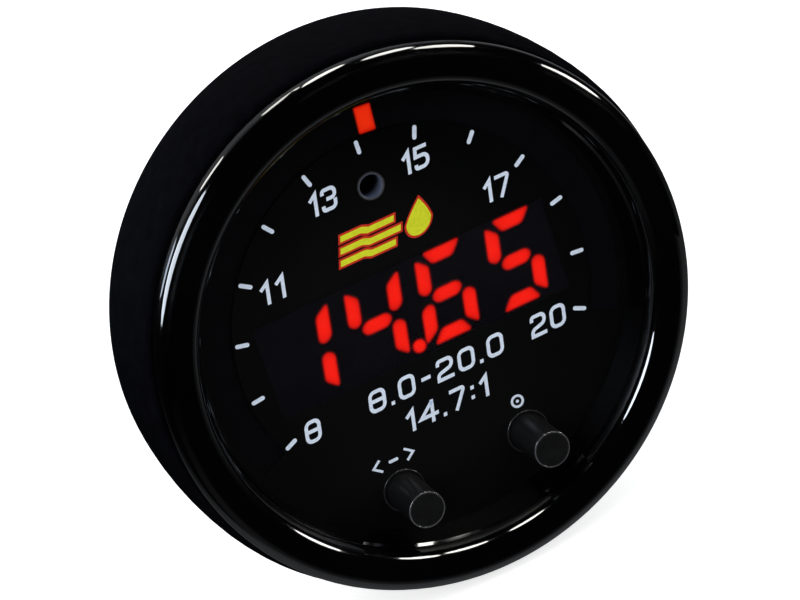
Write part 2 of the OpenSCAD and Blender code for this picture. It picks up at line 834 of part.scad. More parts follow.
module contacts(cols) {
    translate([0, 0, -board_t - solder_end]) at_contacts(cols)
        cylinder(r = contact_r, h = board_t + solder_end + connector_len - contact_end, $fn = 24);
}

// Rear connectors hang from the control board's back
module at_header(x) {
    face_out() translate([x, header_y, control_rear_h]) rotate([0, 180, 0]) children();
}

module sensor_header() { color("#e9e6da") at_header(sensor_x) shroud(sensor_cols); }
module sensor_pins() { color("#cfae57") at_header(sensor_x) contacts(sensor_cols); }
module power_header() { color("#1e1e20") at_header(power_x) shroud(power_cols); }
module power_pins() { color("#cfae57") at_header(power_x) contacts(power_cols); }

module header_opening(x, cols) {
    translate([x, header_y + latch_t / 2, -cut])
        block(shroud_size(cols) + 2 * gap, shroud_size(contact_rows) + latch_t + 2 * gap, cup_wall + 2 * cut);
}

// Rear cup: a flange that closes the housing, the 52 mm stub that goes
// through the dash, and posts that carry the boards
module rear_cup() {
    color("#151618") face_out() difference() {
        union() {
            cylinder(r = bore_r - fit, h = flange_t);
            translate([0, 0, cup_rear_h]) cylinder(r = cup_r, h = sink - cup_rear_h);
        }
        difference() {
            translate([0, 0, cup_floor_h]) cylinder(r = cup_r - cup_wall, h = flange_t - cup_floor_h + cut);
            translate([0, 0, cup_floor_h - cut]) at_screws() cylinder(r = post_r, h = rear_room + cut);
        }
        translate([0, 0, cup_rear_h - cut]) at_screws() {
            cylinder(r = screw_r + screw_fit, h = control_rear_h - cup_rear_h + 2 * cut);
            cylinder(r = screw_head_r + screw_fit, h = head_seat_h - cup_rear_h + cut);
        }
        translate([0, 0, cup_rear_h]) {
            header_opening(sensor_x, sensor_cols);
            header_opening(power_x, power_cols);
            for (side = [-1, 1]) translate([side * stud_x, 0, -cut])
                cylinder(r = stud_r + stud_collar + snug, h = cup_wall + 2 * cut);
        }
    }
}

// Threaded studs with their heads inside the cup and a collar in its wall
module mounting_studs() {
    color("#b9bbbe") face_out() for (side = [-1, 1]) translate([side * stud_x, 0, 0]) {
        translate([0, 0, cup_floor_h]) cylinder(r = stud_r + stud_flange, h = stud_head_t);
        translate([0, 0, cup_rear_h - stud_len]) rotate_extrude() polygon(concat(
            [[0, 0], [stud_r - stud_edge, 0], [stud_r, stud_edge]],
            [for (i = [0 : thread_n - 1]) each thread_ring(i)],
            [[stud_r, stud_len], [stud_r + stud_collar, stud_len],
                [stud_r + stud_collar, stud_len + cup_wall + sink], [0, stud_len + cup_wall + sink]]));
    }
}

// Screws that clamp the light box, both boards and the rear cup together
module clamp_screws() {
    color("#9a9ca0") face_out() at_screws() difference() {
        union() {
            translate([0, 0, head_seat_h - screw_head_t]) cylinder(r = screw_head_r, h = screw_head_t);
            translate([0, 0, head_seat_h - screw_head_t / 2])
                cylinder(r = screw_r, h = board_h + pilot_len - gap - head_seat_h + screw_head_t / 2);
        }
        for (turn = [0, 90]) translate([0, 0, head_seat_h - screw_head_t - cut])
            rotate([0, 0, turn]) block(recess_w, recess_len, recess_depth + cut);
    }
}

housing();
bezel();
face_gasket();
dial_film();
smoked_filter();
light_box();
segments_lit();
segments_dark();
sweep_bar_lit();
sweep_bars_dark();
display_board();
segment_leds();
sweep_leds();
light_sensor();
led_drivers();
mode_button();
mode_plunger();
mode_dome();
mode_switch_base();
mode_switch_cover();
select_button();
select_plunger();
select_dome();
select_switch_base();
select_switch_cover();
link_header();
link_pins();
spacers();
control_board();
microcontroller();
sensor_driver();
regulator();
power_inductor();
filter_capacitors();
crystal();
passives();
sensor_header();
sensor_pins();
power_header();
power_pins();
rear_cup();
mounting_studs();
clamp_screws();
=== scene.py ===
import math

import bmesh
import bpy
from mathutils import Matrix, Vector


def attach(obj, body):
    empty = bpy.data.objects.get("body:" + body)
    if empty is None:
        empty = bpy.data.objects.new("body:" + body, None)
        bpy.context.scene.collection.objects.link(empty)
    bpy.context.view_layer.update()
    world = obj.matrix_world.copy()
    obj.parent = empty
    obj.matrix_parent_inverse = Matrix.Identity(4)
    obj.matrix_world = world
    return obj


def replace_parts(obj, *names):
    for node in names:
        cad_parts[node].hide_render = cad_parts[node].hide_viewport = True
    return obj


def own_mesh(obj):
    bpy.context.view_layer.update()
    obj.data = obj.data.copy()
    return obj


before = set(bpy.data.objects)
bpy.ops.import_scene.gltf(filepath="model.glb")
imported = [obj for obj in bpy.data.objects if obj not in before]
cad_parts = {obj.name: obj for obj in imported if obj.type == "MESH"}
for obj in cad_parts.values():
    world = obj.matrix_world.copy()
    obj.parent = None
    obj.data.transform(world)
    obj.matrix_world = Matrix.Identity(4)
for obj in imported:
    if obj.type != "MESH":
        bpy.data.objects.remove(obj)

for spare in ("Cube", "Camera", "Light"):  # what an empty Blender file starts with
    if spare in bpy.data.objects:
        bpy.data.objects.remove(bpy.data.objects[spare])
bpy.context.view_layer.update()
print("frame loaded,", len(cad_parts), "parts")

mm = 0.001

# places on the gauge, in mm: x to the right, z up, and h out of the dash, which is -Y
gaugeSizes = {
    "dialFront": 10.4,
    "boxFront": 10.0,
    "diffuserBack": 8.8,
    "button": (7.449, -18.345),  # across, either side of the middle, and up
    "sight": 14.5,
}


def place(x, z, h):
    return Vector((x * mm, -h * mm, z * mm))


def linkPiece(name, mesh, body, slotName):
    piece = bpy.data.objects.new(name, mesh)
    bpy.context.scene.collection.objects.link(piece)
    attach(piece, body)
    return piece


def addPiece(name, verts, faces, look, body, slotName, smooth=False):
    mesh = bpy.data.meshes.new(name)
    mesh.from_pydata([tuple(v) for v in verts], [], faces)
    mesh.validate()
    bm = bmesh.new()
    bm.from_mesh(mesh)
    bmesh.ops.recalc_face_normals(bm, faces=bm.faces)
    bm.to_mesh(mesh)
    bm.free()
    for polygon in mesh.polygons:
        polygon.use_smooth = smooth
    mesh.materials.append(look)
    return linkPiece(name, mesh, body, slotName)


# finishes
def setSockets(node, values):
    for socket, value in values.items():
        node.inputs[socket].default_value = value


def addNode(nodes, kind, values={}):
    node = nodes.new("ShaderNode" + kind)
    setSockets(node, values)
    return node


def newLook(name):
    look = bpy.data.materials.new(name)
    look.use_nodes = True
    nodes = look.node_tree.nodes
    shader = nodes["Principled BSDF"]
    coords = addNode(nodes, "TexCoord")
    return look, nodes, look.node_tree.links, shader, coords


def addNoise(nodes, links, coords, scale, detail):
    noise = addNode(nodes, "TexNoise", {"Scale": scale, "Detail": detail})
    links.new(coords.outputs["Object"], noise.inputs["Vector"])
    return noise


# most of a noise lies between 0.3 and 0.7, which become the lowest and highest roughness
def addRoughness(nodes, links, source, shader, low, high):
    spread = addNode(nodes, "MapRange", {"From Min": 0.3, "From Max": 0.7, "To Min": low, "To Max": high})
    links.new(source, spread.inputs["Value"])
    links.new(spread.outputs["Result"], shader.inputs["Roughness"])


def addRamp(nodes, links, source, stops):
    ramp = addNode(nodes, "ValToRGB")
    elements = ramp.color_ramp.elements
    while len(elements) < len(stops):
        elements.new(0.5)
    for element, (where, colour) in zip(elements, stops):
        element.position = where
        element.color = (*colour, 1.0)
    links.new(source, ramp.inputs["Fac"])
    return ramp


def addBump(nodes, links, source, shader, strength, depth):
    bump = addNode(nodes, "Bump", {"Strength": strength, "Distance": depth * mm})
    links.new(source, bump.inputs["Height"])
    links.new(bump.outputs["Normal"], shader.inputs["Normal"])


# dark and pale are the two ends of the colour, size the grain in mm, rough its two roughnesses,
# and bump its strength and its depth in mm
def grainLook(name, dark, pale, size, rough, bump, metal, gloss):
    look, nodes, links, shader, coords = newLook(name)
    setSockets(shader, {"Metallic": metal, "Specular IOR Level": gloss})
    broad = addNoise(nodes, links, coords, 1 / (size * 9 * mm), 5.0)  # clouds of nine grains
    fine = addNoise(nodes, links, coords, 1 / (size * mm), 3.0)
    ramp = addRamp(nodes, links, broad.outputs["Fac"], [(0.3, dark), (0.7, pale)])
    links.new(ramp.outputs["Color"], shader.inputs["Base Color"])
    addRoughness(nodes, links, fine.outputs["Fac"], shader, *rough)
    addBump(nodes, links, fine.outputs["Fac"], shader, *bump)
    return look


finishes = {
    # dark, pale,
    #     grain in mm, roughness, bump, metal, gloss
    "bezelPlastic": ((0.0005, 0.0005, 0.0007), (0.0010, 0.0010, 0.0013),
        2.2, (0.045, 0.075), (0.04, 0.01), 0, 0.5),
    "bodyPlastic": ((0.0014, 0.0014, 0.0023), (0.0029, 0.0030, 0.0045),
        0.16, (0.62, 0.80), (0.35, 0.02), 0, 0.003),
    "cupPlastic": ((0.0085, 0.0085, 0.0095), (0.0155, 0.0155, 0.0170),
        0.22, (0.40, 0.55), (0.35, 0.02), 0, 0.45),
    "buttonPlastic": ((0.0042, 0.0043, 0.0046), (0.0076, 0.0077, 0.0082),
        0.12, (0.30, 0.42), (0.18, 0.008), 0, 0.4),
    "sealRubber": ((0.004, 0.004, 0.004), (0.008, 0.008, 0.008),
        0.2, (0.7, 0.85), (0.3, 0.01), 0, 0.3),
    "reflectorPlastic": ((0.0045, 0.0043, 0.0055), (0.0075, 0.0070, 0.0090),
        0.14, (0.45, 0.6), (0.25, 0.01), 0, 0.3),
    "darkResin": ((0.0045, 0.0040, 0.0050), (0.0070, 0.0062, 0.0075),
        0.3, (0.3, 0.4), (0.1, 0.01), 0, 0.4),
    "ledPackage": ((0.62, 0.60, 0.50), (0.82, 0.80, 0.70),
        0.2, (0.2, 0.3), (0.1, 0.01), 0, 0.5),
    "chipPlastic": ((0.012, 0.012, 0.013), (0.026, 0.026, 0.028),
        0.08, (0.45, 0.6), (0.3, 0.01), 0, 0.4),
    "ferrite": ((0.03, 0.03, 0.032), (0.07, 0.068, 0.07),
        0.15, (0.6, 0.75), (0.4, 0.02), 0, 0.4),
    "plungerNylon": ((0.62, 0.62, 0.58), (0.74, 0.74, 0.70),
        0.4, (0.35, 0.5), (0.1, 0.01), 0, 0.4),
    "springSteel": ((0.50, 0.50, 0.51), (0.66, 0.66, 0.67),
        0.3, (0.2, 0.32), (0.1, 0.005), 1, 0.5),
    "paleNylon": ((0.70, 0.67, 0.58), (0.82, 0.79, 0.71),
        0.5, (0.34, 0.48), (0.12, 0.012), 0, 0.4),
    "contactBrass": ((0.62, 0.46, 0.18), (0.80, 0.64, 0.30),
        0.3, (0.2, 0.34), (0.1, 0.004), 1, 0.5),
    "canAluminium": ((0.58, 0.58, 0.59), (0.72, 0.72, 0.73),
        0.25, (0.25, 0.38), (0.12, 0.005), 1, 0.5),
    "ceramic": ((0.34, 0.27, 0.20), (0.48, 0.40, 0.31),
        0.2, (0.5, 0.6), (0.2, 0.01), 0, 0.4),
    # painted highlight: pale grey that stands in for the glint round each button's tip, on a glossy finish
    # that reflects too
    "edgePolish": ((0.050, 0.050, 0.054), (0.100, 0.100, 0.106),
        0.35, (0.10, 0.16), (0.05, 0.004), 0, 0.6),
    # painted highlight: grey that stands in for the glint round each collar's rim, on a glossy finish that
    # reflects too
    "collarPolish": ((0.016, 0.016, 0.018), (0.030, 0.030, 0.034),
        0.35, (0.16, 0.24), (0.05, 0.004), 0, 0.5),
    # painted reflection: pale bluish colour that stands in for a reflection in the bore; the lamps light it
    # into a crescent
    "sleevePlastic": ((0.075, 0.092, 0.150), (0.115, 0.135, 0.205),
        0.3, (0.25, 0.35), (0.1, 0.005), 0, 0.5),
    # painted highlight: grey that stands in for the glint on the rim of the sight tube's mouth
    "beadPlastic": ((0.045, 0.045, 0.048), (0.065, 0.065, 0.070),
        0.2, (0.25, 0.35), (0.1, 0.005), 0, 0.5),
    "zincSteel": ((0.44, 0.45, 0.47), (0.54, 0.55, 0.57),
        0.12, (0.30, 0.38), (0.08, 0.004), 1, 0.5),
}
looks = {name: grainLook(name, *spec) for name, spec in finishes.items()}

filmFinish = {
    "dark": (0.0011, 0.0011, 0.0014),
    "pale": (0.0018, 0.0017, 0.0022),
    "cloud": 90.0,  # how many to a metre
    "grain": 5200.0,
    "rough": (0.38, 0.5),
    "bump": (0.12, 0.004),
    "gloss": 0.25,
}


def filmLook():
    look, nodes, links, shader, coords = newLook("dialPrint")
    setSockets(shader, {"Specular IOR Level": filmFinish["gloss"]})
    broad = addNoise(nodes, links, coords, filmFinish["cloud"], 3.0)
    fine = addNoise(nodes, links, coords, filmFinish["grain"], 2.0)
    stops = [(0.35, filmFinish["dark"]), (0.65, filmFinish["pale"])]
    ramp = addRamp(nodes, links, broad.outputs["Fac"], stops)
    links.new(ramp.outputs["Color"], shader.inputs["Base Color"])
    addRoughness(nodes, links, fine.outputs["Fac"], shader, *filmFinish["rough"])
    addBump(nodes, links, fine.outputs["Fac"], shader, *filmFinish["bump"])
    return look


filterFinish = {
    "dark": (0.0062, 0.0052, 0.0084),
    "pale": (0.0086, 0.0074, 0.0112),
    "sweep": (0.0050, 0.0048, 0.0070),  # behind the sweep windows
    "sweepFrom": (18.6, 19.4),  # where that colour starts and is full, in mm from the middle
    "cloud": 120.0,
    "rough": (0.22, 0.3),
    "gloss": 0.3,
    "alpha": 0.45,
}


def filterLook():
    look, nodes, links, shader, coords = newLook("smokedSheet")
    setSockets(shader, {"Specular IOR Level": filterFinish["gloss"], "Alpha": filterFinish["alpha"]})
    broad = addNoise(nodes, links, coords, filterFinish["cloud"], 3.0)
    stops = [(0.35, filterFinish["dark"]), (0.65, filterFinish["pale"])]
    ramp = addRamp(nodes, links, broad.outputs["Fac"], stops)
    flat, reach = addNode(nodes, "VectorMath", {1: (1, 0, 1)}), addNode(nodes, "VectorMath")
    flat.operation, reach.operation = "MULTIPLY", "LENGTH"
    links.new(coords.outputs["Object"], flat.inputs[0])
    links.new(flat.outputs["Vector"], reach.inputs[0])
    start, full = filterFinish["sweepFrom"]
    edge = addNode(nodes, "MapRange", {"From Min": start * mm, "From Max": full * mm})
    links.new(reach.outputs["Value"], edge.inputs["Value"])
    mixed = addNode(nodes, "Mix")
    mixed.data_type = "RGBA"
    factor, first, second = mixed.inputs[0], mixed.inputs[6], mixed.inputs[7]  # its colour sockets
    second.default_value = (*filterFinish["sweep"], 1)
    links.new(edge.outputs["Result"], factor)
    links.new(ramp.outputs["Color"], first)
    links.new(mixed.outputs[2], shader.inputs["Base Color"])
    addRoughness(nodes, links, broad.outputs["Fac"], shader, *filterFinish["rough"])
    return look


boardFinish = {
    "fields": ((0.010, 0.055, 0.025), (0.012, 0.062, 0.028)),
    "tracks": (0.022, 0.115, 0.050),
    "trackWidth": 0.035,  # share of a field
    "perMetre": 900.0,
    "grain": 2500.0,
    "rough": (0.25, 0.38),
    "bump": (0.3, 0.02),
}


def boardLook():
    look, nodes, links, shader, coords = newLook("boardLaminate")
    tracks = addNode(nodes, "TexBrick", {
        "Scale": boardFinish["perMetre"],
        "Mortar Size": boardFinish["trackWidth"],
        "Color1": (*boardFinish["fields"][0], 1),
        "Color2": (*boardFinish["fields"][1], 1),
        "Mortar": (*boardFinish["tracks"], 1),
    })
    slanted = addNode(nodes, "Mapping", {"Rotation": (math.radians(90), 0, math.radians(45))})
    links.new(coords.outputs["Object"], slanted.inputs["Vector"])
    links.new(slanted.outputs["Vector"], tracks.inputs["Vector"])
    links.new(tracks.outputs["Color"], shader.inputs["Base Color"])
    fine = addNoise(nodes, links, coords, boardFinish["grain"], 2.0)
    addRoughness(nodes, links, fine.outputs["Fac"], shader, *boardFinish["rough"])
    addBump(nodes, links, tracks.outputs["Fac"], shader, *boardFinish["bump"])
    return look


resinFinish = {
    "dark": (0.030, 0.003, 0.002),
    "pale": (0.045, 0.005, 0.003),
    "cloud": 900.0,
    "rough": (0.3, 0.45),
    "turn": 0.45,  # how near its lamp a point has the colour of the edge
}


# lit resin: its colour follows how near a point is to its lamp
def glowLook(name, edge, middle, strength):
    look, nodes, links, shader, coords = newLook(name)
    near = addNode(nodes, "Attribute")
    near.attribute_name = "nearLamp"
    cloud = addNoise(nodes, links, coords, resinFinish["cloud"], 2.0)
    stops = [(0.0, (0, 0, 0)), (resinFinish["turn"], edge), (1.0, middle)]
    ramp = addRamp(nodes, links, near.outputs["Fac"], stops)
    links.new(ramp.outputs["Color"], shader.inputs["Emission Color"])
    setSockets(shader, {"Emission Strength": strength})
    stops = [(0.3, resinFinish["dark"]), (0.7, resinFinish["pale"])]
    base = addRamp(nodes, links, cloud.outputs["Fac"], stops)
    links.new(base.outputs["Color"], shader.inputs["Base Color"])
    addRoughness(nodes, links, cloud.outputs["Fac"], shader, *resinFinish["rough"])
    return look


inkFinish = {
    "grain": 3000.0,
    "rough": (0.45, 0.6),
    "gloss": 0.2,
}


# the ink lets through a little of the light from behind the dial
def inkLook(name, dark, pale, glow):
    look, nodes, links, shader, coords = newLook(name)
    setSockets(shader, {"Specular IOR Level": inkFinish["gloss"], "Emission Strength": glow})
    fine = addNoise(nodes, links, coords, inkFinish["grain"], 3.0)
    ramp = addRamp(nodes, links, fine.outputs["Fac"], [(0.3, dark), (0.7, pale)])
    links.new(ramp.outputs["Color"], shader.inputs["Base Color"])
    links.new(ramp.outputs["Color"], shader.inputs["Emission Color"])
    addRoughness(nodes, links, fine.outputs["Fac"], shader, *inkFinish["rough"])
    return look


looks["dialPrint"] = filmLook()
looks["filterSheet"] = filterLook()
looks["boardLaminate"] = boardLook()

litColours = {
    # edge, middle, strength
    "litResin": ((0.60, 0.004, 0.001), (1.0, 0.013, 0.004), 3.0),
    "litOrange": ((0.62, 0.008, 0.001), (1.0, 0.030, 0.003), 2.6),
}
for name, colours in litColours.items():
    looks[name] = glowLook(name, *colours)

inkColours = {
    # dark, pale, glow
    "paleInk": ((0.60, 0.68, 0.80), (0.72, 0.80, 0.92), 0.15),
    "yellowInk": ((0.62, 0.66, 0.010), (0.72, 0.76, 0.018), 0.1),
    "redInk": ((0.50, 0.016, 0.004), (0.62, 0.026, 0.006), 0.1),
}
for name, colours in inkColours.items():
    looks[name] = inkLook(name, *colours)

# the slot bezel_plastic takes the finish bezelPlastic, and so on
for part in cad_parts.values():
    for entry in part.material_slots:
        first, *others = entry.material.name.split(".")[0].split("_")
        entry.material = looks[first + "".join(word.title() for word in others)]
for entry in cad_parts["rear_cup"].material_slots:
    entry.material = looks["cupPlastic"]
print("finishes made,", len(looks))

# housing: the moulded shell with its side crowned between the back edge and the bezel
crownedSide = {
    "cuts": 26,
    "skin": 28.6,  # anything further out than this belongs to the side
    "front": 12.8,
    "smoothTo": 35,  # sharpest edge that is shaded smooth, in degrees
    "crown": [  # height from the back, extra radius
        (0.0, 0.0), (1.0, 0.16), (2.0, 0.30), (4.0, 0.52), (6.0, 0.66),
        (8.0, 0.72), (10.0, 0.71), (11.4, 0.60), (12.4, 0.38), (12.8, 0.22),
    ],
}


def crownAt(h):
    rows = crownedSide["crown"]
    for (h0, c0), (h1, c1) in zip(rows, rows[1:]):
        if h <= h1:
            return c0 + (c1 - c0) * max(0.0, h - h0) / (h1 - h0)
    return rows[-1][1]


bm = bmesh.new()
bm.from_mesh(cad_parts["housing"].data)
for i in range(1, crownedSide["cuts"]):
    h = crownedSide["front"] * i / crownedSide["cuts"]
    bmesh.ops.bisect_plane(bm, geom=bm.verts[:] + bm.edges[:] + bm.faces[:],
                           plane_co=(0, -h * mm, 0), plane_no=(0, 1, 0))
for v in bm.verts:
    r = math.hypot(v.co.x, v.co.z) / mm
    if r > crownedSide["skin"]:
        swell = 1 + crownAt(-v.co.y / mm) / r
        v.co.x *= swell
        v.co.z *= swell
crownedMesh = bpy.data.meshes.new("housing_crowned")
bm.to_mesh(crownedMesh)
bm.free()
crownedMesh.materials.clear()
crownedMesh.materials.append(looks["bodyPlastic"])
for polygon in crownedMesh.polygons:
    polygon.use_smooth = True
    polygon.material_index = 0
crownedMesh.set_sharp_from_angle(angle=math.radians(crownedSide["smoothTo"]))
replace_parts(linkPiece("housing_crowned", crownedMesh, "gauge", "body_plastic"), "housing")
print("housing crowned")

# readout: seven segments a digit, cast in the wells of the light box
readout = {
    "pitch": 8.262,
    "halfWidth": 3.119,
    "halfHeight": 5.006,
    "bar": 1.435,
    "lean": math.tan(math.radians(10)),
    "middle": 0.1,  # height of the digits' middle
    "pointPlace": (4.281, -4.304),
    "pointRadius": 0.702,
    "softened": 0.3,  # share of the bar that a corner is cut back
    "spill": 0.24,  # how far the light spills on the box round a segment
    "lit": [[1, 2], [1, 2, 5, 6, 7], [0, 2, 3, 4, 5, 6], [0, 2, 3, 5, 6]],
}


# segments 0 top, 1 and 2 right, 3 bottom, 4 and 5 left, 6 middle; the shares are of the bar's width
def segmentOutline(k):
    w, t, hh = readout["halfWidth"], readout["bar"], readout["halfHeight"]
    up = 1 if k in (0, 1, 5) else -1
    side = 1 if k in (1, 2) else -1
    if k in (0, 3):
        shares = [(-1, 0.69, 0), (1, 0.69, 0), (1, 1.35, 1), (-1, 1.35, 1)]
        return [(s * (w - a * t), up * (hh - b * t)) for s, a, b in shares]
    if k == 6:
        tip, flat = w - 0.94 * t, w - 1.33 * t
        return [(-tip, 0), (-flat, t / 2), (flat, t / 2), (tip, 0), (flat, -t / 2), (-flat, -t / 2)]
    outer = [(side * (w - a * t), up * (hh - b * t)) for a, b in ((0, 0.49), (0.17, 0.44), (1, 1.08))]
    inner = [(side * (w - a * t), up * b * t) for a, b in ((1, 0.59), (0.54, 0.34), (0, 0.72))]
    return outer + inner


def softenCorners(points, back):
    made, steps = [], 4
    for i, (px, py) in enumerate(points):
        p = Vector((px, py))
        a, b = Vector(points[i - 1]), Vector(points[(i + 1) % len(points)])
        start = p + (a - p).normalized() * min(back, (a - p).length / 2)
        end = p + (b - p).normalized() * min(back, (b - p).length / 2)
        for s in range(steps + 1):
            t = s / steps
            made.append((1 - t) ** 2 * start + 2 * t * (1 - t) * p + t * t * end)
    return [q for i, q in enumerate(made) if (q - made[i - 1]).length > 1e-4]


def circle(x, y, r, steps):
    turns = [i * math.tau / steps for i in range(steps)]
    return [(x + r * math.cos(a), y + r * math.sin(a)) for a in turns]


def litOutlines():
    for d, lit in enumerate(readout["lit"]):
        cx = (d - 1.5) * readout["pitch"]
        for k in lit:
            if k == 7:  # the point
                px, py = readout["pointPlace"]
                ring = [Vector(p) for p in circle(px, py, readout["pointRadius"], 32)]
                shift = py * readout["lean"]
                yield [Vector((cx + p.x + shift, readout["middle"] + p.y)) for p in ring]
            else:
                ring = softenCorners(segmentOutline(k), readout["softened"] * readout["bar"])
                yield [Vector((cx + p.x + p.y * readout["lean"], readout["middle"] + p.y)) for p in ring]


def outset(ring, by):
    area = sum(ring[i - 1].x * ring[i].y - ring[i].x * ring[i - 1].y for i in range(len(ring)))
    turn = 1 if area > 0 else -1
    made = []
    for i, p in enumerate(ring):
        along = (ring[(i + 1) % len(ring)] - ring[i - 1]).normalized()
        made.append(p + Vector((along.y, -along.x)) * by * turn)
    return made


resin = {
    "lip": 0.012,  # how far it stands out of the box
    "sunk": 0.005,  # how far the spilt light's skin goes into the box
    "hollow": 0.09,  # how far it sinks in the middle of a well
    "backGlow": 0.6,
    "footGlow": 0.10,
    "edgeGlow": 0.30,
    "rings": [(0.90, 0.62), (0.78, 0.82), (0.60, 0.95), (0.35, 1.0)],  # size, glow
    "spillGlow": 0.06,
}


# diffusers hollowed like a meniscus, each with the light that spills round it
def litPiece(name, outlines, look, spill):
    verts, faces, near = [], [], []

    def addRing(ring, h, glow):
        first = len(verts)
        verts.extend(place(p.x, p.y, h) for p in ring)
        near.extend([glow] * len(ring))
        return first

    def bridge(a, b, n):
        faces.extend((a + i, a + (i + 1) % n, b + (i + 1) % n, b + i) for i in range(n))

    back, box = gaugeSizes["diffuserBack"], gaugeSizes["boxFront"]
    low, high = box - resin["sunk"], box + resin["lip"]
    for ring in outlines:
        n = len(ring)
        centre = sum(ring, Vector((0, 0))) / n
        rows = [addRing(ring, back, resin["backGlow"]),
                addRing(ring, low, resin["footGlow"]),
                addRing(outset(ring, spill), low, 0.0),
                addRing(outset(ring, spill), box + resin["lip"] * 0.5, 0.0),
                addRing(outset(ring, spill * 0.5), high, resin["spillGlow"]),
                addRing(ring, high, resin["edgeGlow"])]
        for share, glow in resin["rings"]:
            inner = [centre + (p - centre) * share for p in ring]
            rows.append(addRing(inner, high - resin["hollow"] * (1 - share ** 2), glow))
        for a, b in zip(rows, rows[1:]):
            bridge(a, b, n)
        middle = len(verts)
        verts.append(place(centre.x, centre.y, high - resin["hollow"]))
        near.append(1.0)
        faces.extend((rows[-1] + i, rows[-1] + (i + 1) % n, middle) for i in range(n))
        foot = len(verts)
        verts.append(place(centre.x, centre.y, back))
        near.append(resin["backGlow"])
        faces.extend((rows[0] + (i + 1) % n, rows[0] + i, foot) for i in range(n))
    piece = addPiece(name, verts, faces, look, "gauge", "lit_resin", smooth=True)
    level = piece.data.attributes.new("nearLamp", "FLOAT", "POINT")
    level.data.foreach_set("value", near)
    return piece


digits = litPiece("readout_segments_lit", list(litOutlines()), looks["litResin"], readout["spill"])
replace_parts(digits, "segments_lit")

# sweep band: the one bar of 24 that is lit
sweep = {
    "inner": 20.0,
    "outer": 22.85,
    "width": 1.8,
    "pitch": 9.5696,  # degrees from bar to bar
    "count": 24,
    "lit": 12,
    "corner": 0.18,
    "spill": 0.14,
}


def sweepOutline(i):
    turn = math.radians((i - (sweep["count"] - 1) / 2) * sweep["pitch"])
    w = sweep["width"] / 2
    box = [(-w, sweep["inner"]), (w, sweep["inner"]), (w, sweep["outer"]), (-w, sweep["outer"])]
    c, s = math.cos(turn), math.sin(turn)
    return [Vector((p.x * c + p.y * s, p.y * c - p.x * s)) for p in softenCorners(box, sweep["corner"])]


bar = litPiece("sweep_bar_glowing", [sweepOutline(sweep["lit"])], looks["litOrange"], sweep["spill"])
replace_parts(bar, "sweep_bar_lit")
for glowing in (digits, bar):
    glowing.visible_glossy = False  # the bezel doesn't mirror them
print("readout lit")

# smoked sheet behind the windows of the dial
smokedSheet = {
    "radius": 27.3,
    "back": 10.04,
    "front": 10.24,
    "buttonHole": 2.4,
    "sightHole": 1.63,
}


# a round sheet with round holes, filled as a flat curve and thickened
def discWithHoles(radius, holes, h0, h1, name, look, slotName):
    curve = bpy.data.curves.new(name, "CURVE")
    curve.dimensions = "2D"
    curve.fill_mode = "BOTH"
    for x, z, r, steps in [(0, 0, radius, 160)] + holes:
        spline = curve.splines.new("POLY")
        spline.points.add(steps - 1)
        for point, (px, pz) in zip(spline.points, circle(x, z, r, steps)):
            point.co = (px * mm, pz * mm, 0, 1)
        spline.use_cyclic_u = True
    curve.extrude = (h1 - h0) / 2 * mm
    flat = bpy.data.objects.new(name + "_curve", curve)
    bpy.context.scene.collection.objects.link(flat)
    mesh = bpy.data.meshes.new_from_object(flat)
    bpy.data.objects.remove(flat)
    upright = Matrix.Rotation(math.radians(90), 4, "X")
    mesh.transform(Matrix.Translation((0, -(h0 + h1) / 2 * mm, 0)) @ upright)
    bm = bmesh.new()
    bm.from_mesh(mesh)
    bmesh.ops.remove_doubles(bm, verts=bm.verts, dist=1e-6)
    bmesh.ops.recalc_face_normals(bm, faces=bm.faces)
    bm.to_mesh(mesh)
    bm.free()
    mesh.materials.clear()
    mesh.materials.append(look)
    return linkPiece(name, mesh, "gauge", slotName)


buttonAcross, buttonUp = gaugeSizes["button"]
sheetHoles = [(side * buttonAcross, buttonUp, smokedSheet["buttonHole"], 48) for side in (-1, 1)]
sheetHoles.append((0, gaugeSizes["sight"], smokedSheet["sightHole"], 40))
sheet = discWithHoles(smokedSheet["radius"], sheetHoles, smokedSheet["back"], smokedSheet["front"],
                      "smoked_sheet", looks["filterSheet"], "filter_sheet")
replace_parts(sheet, "smoked_filter")

# snap domes of the switches, which flatten on their seats as the buttons are pressed: here each is only
# copied as a piece of its own in spring steel, unbent
snapDome = {
    "seat": 5.3,
    "rise": 0.8,
    "travel": 0.35,
    "spare": 0.01,  # share of the rise that keeps a pressed dome clear of its plunger
}
for side, press in ((-1, "mode"), (1, "select")):
    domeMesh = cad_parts[press + "_dome"].data.copy()
    domeMesh.name = press + "_dome_sprung"
    domeMesh.materials.clear()
    domeMesh.materials.append(looks["springSteel"])
    dome = linkPiece(press + "_dome_sprung", domeMesh, "gauge", "spring_steel")
    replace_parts(dome, press + "_dome")
    seat = place(side * buttonAcross, buttonUp, snapDome["seat"])
    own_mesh(dome)

# sight tube round the light sensor's bore: a pale bluish wall, its colour a painted reflection that the
# lamps light into a crescent, and a rounded mouth in grey as a painted highlight on its rim
sightTube = {
    "bore": 1.3,
    "wall": 0.05,
    "foot": 7.9,
    "mouth": 10.43,
    "beadWide": 0.2,
    "beadHigh": 0.07,
    "beadIn": 0.01,  # how far the bead reaches into the bore
    "beadSteps": 16,
    "around": 64,
}


# a ring turned from a closed profile of radius and height, about a middle that is up from the dial's
def turned(profile, up, around):
    verts, faces, n = [], [], len(profile)
    for i in range(around):
        a = math.tau * i / around
        verts += [place(r * math.cos(a), up + r * math.sin(a), h) for r, h in profile]
    for i in range(around):
        here, there = i * n, (i + 1) % around * n
        faces += [(here + j, here + (j + 1) % n, there + (j + 1) % n, there + j) for j in range(n)]
    return verts, faces


